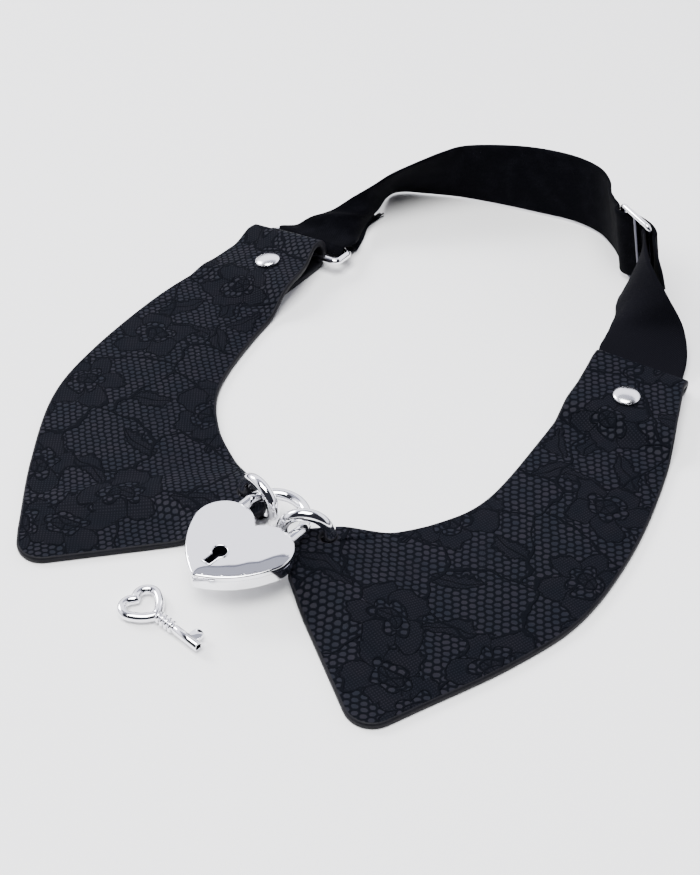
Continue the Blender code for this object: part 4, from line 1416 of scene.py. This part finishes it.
# The long strap's way through the slider: along the rails, away from the neck.
SLIDER_WEAVE = [
    *((-9.6, 0.0), (-8.6, -1.6), (-7.0, -2.1), (-5.2, -1.5), (-3.5, 0.0), (-1.8, 1.5)),
    *((0.2, 2.2), (2.6, 2.6), (4.8, 2.6), (7.0, 2.1), (8.7, 1.2)),
]
TAIL = [
    StrapRow((56.6, 191.2, 2.0), (53.0, 186.6, 26.8)),
    StrapRow((55.4, 186.8, 1.6), (56.3, 181.0, 25.2)),
    StrapRow((52.4, 184.2, 1.2), (59.5, 177.4, 22.4)),
    StrapRow((49.8, 181.8, 0.9), (62.0, 174.5, 19.2)),
]
# The short right strap: the inner edge stays low and the outer edge rises to the slider.
RIGHT_TWIST = [
    StrapRow((48.6, 160.6, 0.9), (74.8, 164.6, 3.4)),
    StrapRow((48.2, 167.0, 1.0), (70.4, 171.6, 9.0)),
    StrapRow((47.8, 172.4, 1.3), (64.2, 172.4, 17.4)),
    StrapRow((47.4, 177.2, 1.6), (59.3, 174.4, 21.8)),
    StrapRow((45.9, 182.0, 2.0), (55.2, 177.5, 24.8)),
    StrapRow((46.3, 187.0, 2.2), (52.2, 182.2, 26.4)),
]


@dataclass
class Strap:
    """A woven strap through rows of cross-sections."""

    name: str
    rows: list
    finish: Material
    steps: int = 8
    thickness: float = 0.96
    edge_half: float = 0.08  # half the thickness at the very edge
    edge_taper: float = 0.5
    across_steps: int = 16
    selvedge: float = 1.5
    selvedge_rise: float = 0.1

    def share(self, step: int) -> float:
        """How far across the strap a step of the cross-section lies; finer at the edges."""
        return 0.5 - 0.5 * math.cos(math.pi * step / self.across_steps)

    def section(self, width: Vector, normal: Vector, low: Vector, arch: float) -> list[Vector]:
        """One cross-section's ring: its two faces and its rounded selvedges.

        Args:
            width: From one edge to the other.
            normal: Out of the strap.
            low: The first edge.
            arch: How far the middle bows out against the normal.

        Returns:
            The ring's points.
        """
        face = []
        for i in range(self.across_steps + 1):
            share = self.share(i)
            bow = arch * 4 * share * (1 - share)
            point = low + width * share - normal * bow
            edge = min(share, 1 - share) * width.length
            bulge = self.selvedge_rise * math.sin(math.pi * min(edge / self.selvedge, 1.0)) ** 2
            taper = smoothstep(edge / self.edge_taper) ** 0.5
            half = (self.thickness / 2 - self.edge_half) * taper + self.edge_half + bulge
            face.append((point, half))
        ring = [point - normal * half for point, half in face]
        return ring + [point + normal * half for point, half in reversed(face)]

    def build(self) -> Object:
        """Sweeps the strap and keeps its place along and across in the flat map.

        Returns:
            The finished strap.
        """
        low = smooth_through([row.low for row in self.rows], self.steps)
        high = smooth_through([row.high for row in self.rows], self.steps)
        arch = smooth_through([(row.arch, 0.0) for row in self.rows], self.steps)
        last = len(low) - 1
        rings = []
        run = [0.0]
        for i in range(last + 1):
            width = high[i] - low[i]
            ahead, behind = min(i + 1, last), max(i - 1, 0)
            along = low[ahead] + high[ahead] - low[behind] - high[behind]
            normal = width.cross(along).normalized()
            rings.append(self.section(width, normal, low[i], arch[i].x))
            if i:
                step = (low[i] + high[i] - low[i - 1] - high[i - 1]) / 2
                run.append(run[-1] + step.length)
        mesh = swept(rings, False)
        self.draw_flat_map(mesh, len(rings[0]), run)
        made = settle("woven_" + self.name, mesh, [self.finish], [self.name], 70.0)
        LOG.info("%s: flat %.1f x %.1f mm", self.name, STRAP_WIDTH, run[-1])
        return made

    def draw_flat_map(self, mesh: BMesh, size: int, run: Sequence[float]) -> None:
        """Maps the distance along and across the strap.

        Args:
            mesh: The swept strap, whose vertices still stand in the order of its rings.
            size: How many points a ring has.
            run: The distance along the strap at each ring.
        """
        layer = mesh.loops.layers.uv.new(FLAT_MAP)
        mesh.verts.index_update()
        half = size // 2
        for face in mesh.faces:
            for loop in face.loops:
                row, k = divmod(loop.vert.index, size)
                across = STRAP_WIDTH * self.share(k if k < half else size - 1 - k)
                across += 0.0 if k < half else 2 * STRAP_WIDTH
                loop[layer].uv = (run[row] / MAP_MILLIMETRES, across / MAP_MILLIMETRES)


@dataclass
class Harness:
    """The two straps and the cut end's loose threads."""

    finishes: Finishes
    slider: Slider
    ring: SideRing
    right: CollarPanel
    lead_in: float = 5.0  # how far the strap runs straight under the ring's bar
    short_shift: float = 1.0  # the short strap lies this much nearer the neck
    threads: int = 70

    def bar_turn(self, turns: int = 6) -> list[StrapRow]:
        """The long strap coming in under the left ring's bar, round it and out over it.

        Args:
            turns: How many steps the half turn has.

        Returns:
            The rows of the turn.
        """
        ends = (-STRAP_WIDTH / 2, STRAP_WIDTH / 2)
        inner, outer = (self.ring.spot(end, self.ring.spacing / 2) for end in ends)
        width = (outer - inner).normalized()
        back = Vector((-width.y, width.x, 0.0)).normalized()
        if back.y < 0:
            back.negate()
        radius = SIDE_RING_WIRE + GAP + STRAP / 2
        places = [(self.lead_in, -radius)]
        for i in range(turns + 1):
            angle = math.pi * i / turns
            places.append((-radius * math.sin(angle), -radius * math.cos(angle)))
        rows = []
        for along, height in places:
            offset = back * along + Vector((0.0, 0.0, height))
            rows.append(StrapRow(tuple(inner + offset), tuple(outer + offset)))
        return rows

    def in_slider(self, along: float, outward: float) -> StrapRow:
        """A strap section that stands in the slider."""
        low = self.slider.base + 2 * self.slider.wire_radius + GAP
        ends = (low, low + STRAP_WIDTH)
        return StrapRow(*(self.slider.spot(along, outward, height) for height in ends))

    def long_rows(self) -> list[StrapRow]:
        """Cut end, round the left ring's bar, behind the neck, through the slider, tail."""
        weave = [self.in_slider(*place) for place in SLIDER_WEAVE]
        return FRAYED_END + self.bar_turn() + LEFT_TWIST + BACK_CURVE + weave + TAIL

    def under_tab(self, along: float) -> StrapRow:
        """The short strap's section under the right tab, a distance behind the bend."""
        height = STRAP / 2 + GAP / 2
        ends = (-self.short_shift - STRAP_WIDTH / 2, -self.short_shift + STRAP_WIDTH / 2)
        return StrapRow(*((*self.right.on_tab(end, along), height) for end in ends))

    def short_rows(self) -> list[StrapRow]:
        """From under the right tab, twisting up to the slider and round its last bar."""
        rows = [self.under_tab(along) for along in (-19.0, -6.0, 2.0)]
        rows += RIGHT_TWIST
        radius = self.slider.wire_radius + 1.6 * GAP + STRAP / 2
        for angle in (-90, -60, -30, 0, 30):
            turn = math.radians(angle)
            along = self.slider.bar_spacing - radius * math.cos(turn)
            rows.append(self.in_slider(along, radius * math.sin(turn)))
        return rows

    def loose_threads(self) -> Object:
        """The frayed threads of the long strap's cut end, longest at its inner corner.

        Returns:
            The finished threads.
        """
        chance = random.Random(7)
        end, before = FRAYED_END[:2]
        low, high = Vector(end.low), Vector(end.high)
        inward = (low + high) / 2 - (Vector(before.low) + Vector(before.high)) / 2
        outward = inward.normalized()
        side = (high - low).normalized()
        mesh = bmesh.new()
        for i in range(self.threads):
            even = max(i + chance.uniform(-0.3, 0.3), 0.0) / (self.threads - 1)
            share = min(max(0.02 + 0.96 * even**1.5, 0.01), 0.99)
            near = (1.0 - share) ** 5
            start = low.lerp(high, share) - outward * 0.4
            reach = chance.uniform(0.6, 1.5) + 1.3 * near
            drift = side * chance.uniform(-0.5, 0.5)
            lift = chance.uniform(-0.2, 0.8) + 2.6 * near * chance.uniform(-0.2, 1.0)
            rise = Vector((0, 0, lift))
            middle = start + outward * (reach * 0.5) + drift * 0.3 + rise * 0.6
            tip = start + outward * reach + drift + rise * 0.7
            tip.z = max(tip.z, 0.15)
            path = smooth_through([start, middle, tip], 3)
            absorb(mesh, wire(path, chance.uniform(0.18, 0.32), False, 5))
        made = settle("frayed_threads", mesh, [self.finishes.dark], [], 70.0)
        return made

    def build(self) -> None:
        """Builds both straps and the loose threads."""
        Strap("strap_long", self.long_rows(), self.finishes.strap).build()
        Strap("strap_short", self.short_rows(), self.finishes.short_strap).build()
        self.loose_threads()


# ---------------------------------------------------------------- padlock
@dataclass
class Heart:
    """The heart outline that the padlock and the key's bow share."""

    half_width: float = 15.1
    length: float = 26.5
    lobe_radius: float = 8.2
    lobe_start: float = -22.2
    bulge: float = 1.85
    tip: tuple = (1.0, 0.5)
    lobe_steps: int = 34
    side_steps: int = 22

    def outline(self) -> list[Vector]:
        """The outline about its tip, +Y towards the shackle."""
        lobe = Vector((self.half_width - self.lobe_radius, self.length - self.lobe_radius))
        notch = math.degrees(math.acos(lobe.x / self.lobe_radius))
        start = self.lobe_start
        tangent = lobe + turned(Vector((self.lobe_radius, 0)), start)
        tip = Vector(self.tip)
        way = (tangent - tip).normalized()
        bulge_way = Vector((way.y, -way.x))
        half = []
        for i in range(self.side_steps):
            share = i / self.side_steps
            bulge = bulge_way * (self.bulge * 4 * share * (1 - share))
            half.append(tip.lerp(tangent, share) + bulge)
        for i in range(self.lobe_steps + 1):
            angle = start + (180 - notch - start) * i / self.lobe_steps
            half.append(lobe + turned(Vector((self.lobe_radius, 0)), angle))
        mirrored = [Vector((-point.x, point.y)) for point in reversed(half[:-1])]
        return [Vector((0.0, 0.05))] + half + mirrored


@dataclass
class Padlock:
    """The heart padlock: two shells, a keyhole with its lip, and the shackle."""

    finishes: Finishes
    tip: tuple = (-2.8, 14.2)
    turn: float = -12.2
    base: float = 7.2
    thickness: float = 5.6
    seam_height: float = 3.7
    seam: float = 0.16
    rim: float = 0.5
    low_rim: float = 0.9
    dome_reach: float = 5.0
    dome_height: float = 0.42
    dome_step: float = 0.69
    shackle_wire: float = 1.65
    shackle_half_width: float = 8.8
    shackle_centre: float = 29.5
    shackle_leg: float = 12.0
    keyhole_from_tip: float = 9.9
    keyhole_radius: float = 1.9
    keyhole_slot: float = 4.8
    keyhole_half_width: float = 1.0
    keyhole_depth: float = 3.0
    lip: float = 0.3

    def placed(self, mesh: BMesh) -> BMesh:
        """Moves a mesh made about the heart's tip to the padlock's place."""
        return moved(mesh, (*self.tip, self.base), self.turn)

    def keyhole(self, grow: float) -> list[Vector]:
        """A round hole with a slot towards the tip, grown by a margin."""
        radius = self.keyhole_radius + grow
        half = self.keyhole_half_width + grow
        slot_angle = math.degrees(math.asin(half / radius))
        start = -90 + slot_angle
        sweep = 360 - 2 * slot_angle
        centre = Vector((0, self.keyhole_from_tip))
        outline = [centre + turned(Vector((radius, 0)), start + sweep * i / 32) for i in range(33)]
        end = self.keyhole_from_tip - self.keyhole_slot - grow
        return outline + [Vector((-half, end)), Vector((half, end))]

    def wall(self) -> list[list[Vector]]:
        """The body's rings from the underside up: rounded rims, and the seam between its shells.

        Returns:
            The rings of points.
        """
        outline = Heart().outline()
        inward = []
        for i, point in enumerate(outline):
            along = outline[(i + 1) % len(outline)] - outline[i - 1]
            inward.append(Vector((-along.y, along.x)).normalized())
        steps = []
        for i in range(4):
            angle = math.radians(30 * i)
            inset, height = 1 - math.sin(angle), 1 - math.cos(angle)
            steps.append((self.low_rim * inset, self.low_rim * height))
        for height in (self.seam_height - self.seam / 2, self.seam_height + self.seam / 2):
            insets = (0.0, self.seam) if height < self.seam_height else (self.seam, 0.0)
            steps += [(inset, height) for inset in insets]
        top = self.thickness - self.dome_height
        for i in range(6):
            angle = math.radians(18 * i)
            height = top - self.rim + self.rim * math.sin(angle)
            steps.append((self.rim * (1 - math.cos(angle)), height))
        rings = []
        for inset, height in steps:
            ring = [Vector((*(p + way * inset), height)) for p, way in zip(outline, inward)]
            rings.append(ring)
        return rings

    def edge_distance(self, spot: Vector, outline: Points) -> float:
        """How far a plan point lies from the outline."""
        best = math.inf
        for start, end in zip(outline, [*outline[1:], outline[0]]):
            along = end - start
            share = (spot - start).dot(along) / max(along.length_squared, 1e-9)
            near = start + along * min(max(share, 0.0), 1.0)
            best = min(best, (spot - near).length)
        return best

    def doming(self, mesh: BMesh) -> None:
        """Cuts the flat top finely and raises it into a soft dome."""
        floor = self.thickness - self.dome_height - 1e-3
        outline = Heart().outline()
        cap = [face for face in mesh.faces if face.normal.z > 0.9 and len(face.verts) > 20]
        for way, start, count in ((AXIS_X, -16.1, 48), (AXIS_Y, 0.3, 44)):
            for i in range(count):
                slice_faces(mesh, cap, way * (start + i * self.dome_step), way)
                mesh.normal_update()
                level = [face for face in mesh.faces if face.normal.z > 0.99]
                cap = [face for face in level if face.calc_center_bounds().z > floor]
        inner = {vert for face in cap for vert in face.verts if not vert.is_boundary}
        inner = [vert for vert in inner if all(face in cap for face in vert.link_faces)]
        for vert in inner:
            share = min(self.edge_distance(vert.co.xy, outline) / self.dome_reach, 1.0)
            vert.co.z += self.dome_height * (1 - (1 - share) ** 2)
        for _ in range(6):
            bmesh.ops.smooth_vert(mesh, verts=inner, factor=0.5, use_axis_z=True)

    def body(self) -> Object:
        """The domed body with the keyhole and the shackle's sockets cut in.

        Returns:
            The finished body.
        """
        mesh = swept(self.wall(), False)
        self.doming(mesh)
        heart = [self.finishes.heart]
        made = settle("padlock_heart", self.placed(mesh), heart, ["padlock_body"], 28.0)
        low = self.thickness - self.keyhole_depth
        hole = plate(self.keyhole(0.0), self.keyhole_depth + 2.0, low=low)
        cutters = [make_object("keyhole_cut", self.placed(hole))]
        for side in (-1, 1):
            foot = self.shackle_centre - self.shackle_leg - 1.0
            start = Vector((side * self.shackle_half_width, foot, self.thickness / 2))
            mouth = Vector((start.x, self.shackle_centre + 4.0, start.z))
            socket = wire([start, mouth], self.shackle_wire + GAP, False, 28)
            cutters.append(make_object(f"socket_cut_{side}", self.placed(socket)))
        carve(made, cutters)
        self.paint_shade_inside(made)
        return made

    def paint_shade_inside(self, made: Object) -> None:
        """Paints shade into the keyhole and the sockets: their inside faces get the dark finish.
        """
        made.data.materials.append(self.finishes.dark)
        turn = Matrix.Rotation(math.radians(-self.turn), 2)
        middle = self.thickness / 2
        for face in made.data.polygons:
            place = face.center / MILLIMETRE + Vector((CENTRE_X, CENTRE_Y, 0.0))
            spot = turn @ (place.xy - Vector(self.tip))
            height = place.z - self.base
            key_side = abs(spot.x) < self.keyhole_radius + 0.02
            key_end = abs(spot.y - self.keyhole_from_tip) < self.keyhole_slot + 0.02
            inside = 0.3 < height < self.thickness - 0.03
            off_leg = math.hypot(abs(spot.x) - self.shackle_half_width, height - middle)
            socket = off_leg < self.shackle_wire + GAP + 0.05 and spot.y > 12.0
            # painted shade: faces inside the keyhole and the sockets take the dark finish
            if (inside and key_side and key_end) or socket:
                face.material_index = 1

    def keyhole_lip(self) -> Object:
        """The small raised lip round the keyhole, as a piece of its own."""
        path = [Vector((*point, self.thickness)) for point in self.keyhole(self.lip)]
        mesh = self.placed(wire(path, self.lip, True, 12))
        made = settle("padlock_keyhole_lip", mesh, [self.finishes.heart], [], 60.0)
        return made

    def shackle(self) -> Object:
        """The bow: two legs in the body and a half-round bend."""
        height = self.thickness / 2
        half = self.shackle_half_width
        foot = self.shackle_centre - self.shackle_leg
        path = [Vector((half, foot, height))]
        for i in range(49):
            angle = math.pi * i / 48
            arc = Vector((math.cos(angle), math.sin(angle))) * half
            path.append(Vector((arc.x, self.shackle_centre + arc.y, height)))
        path.append(Vector((-half, foot, height)))
        mesh = self.placed(wire(path, self.shackle_wire, False, 28))
        return settle("chrome_shackle", mesh, [self.finishes.chrome], ["padlock_shackle"], 60.0)

    def build(self) -> None:
        """Builds the padlock's pieces."""
        self.body()
        self.keyhole_lip()
        self.shackle()


# ---------------------------------------------------------------- key
@dataclass
class Key:
    """The key: an open heart bow, a ribbed shank with a drilled end, and one bit."""

    finishes: Finishes
    bow_place: tuple = (-14.2, 7.5)
    turn: float = -14.5
    wire_radius: float = 1.3
    bow_width: float = 13.0
    bow_length: float = 11.6
    shank_radius: float = 1.25
    shank_length: float = 15.2
    waist_share: float = 0.66
    ribs: int = 4
    rib_start: float = 0.6
    rib_pitch: float = 1.5
    rib_radius: float = 1.7
    barrel_start: float = 7.0
    bore: float = 0.86
    bore_depth: float = 4.2
    bit_width: float = 3.2
    bit_reach: float = 4.0
    bit_half: float = 0.5
    bit_setback: float = 1.6
    bit_radius: float = 1.45

    def bow(self) -> BMesh:
        """The bow's round wire, its tip towards the shank at +X."""
        heart = Heart(lobe_steps=22, side_steps=12)
        scale = (self.bow_width - 2 * self.wire_radius) / (2 * heart.half_width)
        middle = Vector((0.0, heart.length * 0.57))
        path = []
        for point in heart.outline():
            spot = turned(point - middle, 90.0) * scale
            path.append(Vector((*spot, self.wire_radius)))
        return wire(path, self.wire_radius, True, 16)

    def shank(self, start: float) -> BMesh:
        """The ribbed and drilled shank, laid along X from where it leaves the bow."""
        waist = self.shank_radius * self.waist_share
        length = self.shank_length
        profile = [(0, 0), (waist, 0)]
        for i in range(self.ribs):
            rib = self.rib_start + i * self.rib_pitch
            for k in range(7):
                angle = math.pi * k / 6
                reach = waist + (self.rib_radius - waist) * math.sin(angle) ** 0.7
                profile.append((reach, rib + 0.5 - 0.5 * math.cos(angle)))
        profile += [(self.shank_radius - 0.1, self.barrel_start - 0.25)]
        profile += [(self.shank_radius, self.barrel_start), (self.shank_radius, length - 0.15)]
        profile += [(self.shank_radius - 0.15, length), (self.bore + 0.08, length)]
        profile += [(self.bore, length - 0.1), (self.bore, length - self.bore_depth + 0.2)]
        profile.append((0, length - self.bore_depth))
        mesh = lathed(profile, 32)
        for face in mesh.faces:
            middle = face.calc_center_median()
            deep = length - self.bore_depth - 0.1 < middle.z < length
            # painted shade: the faces inside the bore get the dark finish
            face.material_index = 1 if deep and middle.xy.length < self.bore else 0
        return moved(mesh, (start, 0, self.rib_radius), 90, "Y")

    def bit(self, start: float) -> BMesh:
        """The flat bit near the end of the shank, which leaves the bow at start."""
        end = start + self.shank_length - self.bit_setback
        near = end - self.bit_width
        spots = ((near, 0.4), (end, 0.4), (end, self.bit_reach), (near, self.bit_reach))
        corners = [Vector(spot) for spot in spots]
        line = corners[:2]
        line += rounded_corner(*corners[1:], self.bit_radius, 8)
        line += rounded_corner(*corners[2:], corners[0], self.bit_radius, 8)
        mesh = plate(line, 2 * self.bit_half, low=self.rib_radius - self.bit_half)
        round_rims(mesh, 0.16, 2)
        return mesh

    def build(self) -> Object:
        """Joins the key's parts, lays it on the table and returns the finished key."""
        start = self.bow_length / 2 - 0.2
        mesh = self.bow()
        absorb(mesh, self.shank(start))
        absorb(mesh, self.bit(start))
        moved(mesh, (*self.bow_place, GAP), self.turn)
        # the dark finish is painted shade inside the bore
        materials = [self.finishes.chrome, self.finishes.dark]
        return settle("chrome_key", mesh, materials, ["key"], 50.0)


# ---------------------------------------------------------------- studio
@dataclass
class Studio:
    """The pale table, the soft lights and the camera."""

    colours: Palette
    floor_size: float = 6.0
    camera_place: tuple = (0.1558, -0.3090, 0.2970)
    camera_azimuth: float = 28.5
    camera_elevation: float = 42.2
    lens: float = 63.77
    dark_side: tuple = (0.353, -0.651, 0.672)
    horizon: tuple = (0.12, 0.12, 0.14, 1.0)
    room: tuple = (2.2, 2.2, 2.42, 1.0)
    crown: tuple = (0.58, 0.59, 0.71, 1.0)
    crown_edge: tuple = (0.24, 0.25, 0.33, 1.0)
    unlit: tuple = (0.03, 0.03, 0.04, 1.0)
    # The heights, and for the unlit side the nearness to its middle, over which each comes in.
    room_band: tuple = (0.06, 0.3)
    crown_band: tuple = (0.775, 0.79)
    edge_band: tuple = (0.806, 0.798)
    unlit_band: tuple = (0.36, 0.62)

    def floor(self) -> None:
        """Lays the pale table."""
        mesh = bmesh.new()
        bmesh.ops.create_grid(mesh, x_segments=1, y_segments=1, size=self.floor_size / 2)
        data = bpy.data.meshes.new("table")
        mesh.to_mesh(data)
        mesh.free()
        coat = Coat("table_white")
        tone = coat.noise(coat.object_place(), 0.02, 2.0)
        colour = coat.mix(tone, self.colours.floor, self.colours.floor_shade)
        paint = coat.paint(Base_Color=colour, Roughness=0.9, Specular_IOR_Level=0.1)
        data.materials.append(paint)
        link_object("table", data)

    def light(self, name: str, place: tuple, size: float, power: float) -> None:
        """Hangs a soft square light that faces the middle of the choker.

        Args:
            name: The light's name.
            place: Where it hangs.
            size: Its side in metres.
            power: Its power in watts.
        """
        data = bpy.data.lights.new(name, "AREA")
        data.energy = power
        data.size = size
        lamp = link_object(name, data)
        lamp.location = place
        lamp.rotation_euler = (-Vector(place)).to_track_quat("-Z", "Y").to_euler()

    def sky(self) -> None:
        """Surrounds the table with a pale room: dark at the horizon and behind the camera."""
        world = bpy.data.worlds.new("room")
        world.use_nodes = True
        bpy.context.scene.world = world
        sheet = NodeSheet(world.node_tree)
        way = sheet.read(sheet.add("ShaderNodeTexCoord"), "Generated")
        up = sheet.split(way)[2]
        crown = sheet.band(up, *self.crown_band)
        edge = crown * sheet.band(up, *self.edge_band)
        ahead = sheet.vector("DOT_PRODUCT", way, self.dark_side)
        colour = sheet.mix(sheet.band(up, *self.room_band), self.horizon, self.room)
        colour = sheet.mix(crown, colour, self.crown)
        colour = sheet.mix(edge, colour, self.crown_edge)
        colour = sheet.mix(sheet.band(ahead, *self.unlit_band), colour, self.unlit)
        sheet.fill(world.node_tree.nodes["Background"], Color=colour, Strength=1.0)

    def camera(self) -> None:
        """Sets the camera up at the photograph's angle."""
        data = bpy.data.cameras.new("camera")
        data.lens = self.lens
        data.sensor_width = 36.0
        data.sensor_fit = "AUTO"
        data.clip_start = 0.01
        data.clip_end = 50.0
        azimuth = math.radians(self.camera_azimuth)
        elevation = math.radians(self.camera_elevation)
        level = math.cos(elevation)
        way = Vector((-math.sin(azimuth) * level, math.cos(azimuth) * level, -math.sin(elevation)))
        view = link_object("camera", data)
        view.location = self.camera_place
        view.rotation_euler = way.to_track_quat("-Z", "Y").to_euler()
        bpy.context.scene.camera = view

    def build(self) -> None:
        """Sets the whole studio up."""
        self.floor()
        self.sky()
        self.light("overhead", (0.0, -0.35, 1.3), 0.9, 43.0)
        self.light("side", (-1.2, 0.1, 0.8), 0.5, 20.0)
        self.camera()


def main() -> None:
    """Builds every piece of the choker in order."""
    logging.basicConfig(level=logging.INFO, format="%(name)s: %(message)s")
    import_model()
    finishes = Finishes()
    Studio(finishes.colours).build()
    panels = {side: CollarPanel(side, finishes) for side in Side}
    for panel in panels.values():
        panel.build()
        Rivet(panel, finishes).build()
        RoundRing(panel.side, finishes).build()
    ring = SideRing(finishes, panels[Side.LEFT])
    ring.build()
    slider = Slider(finishes)
    slider.build()
    Harness(finishes, slider, ring, panels[Side.RIGHT]).build()
    Padlock(finishes).build()
    Key(finishes).build()


if __name__ == "__main__":
    main()
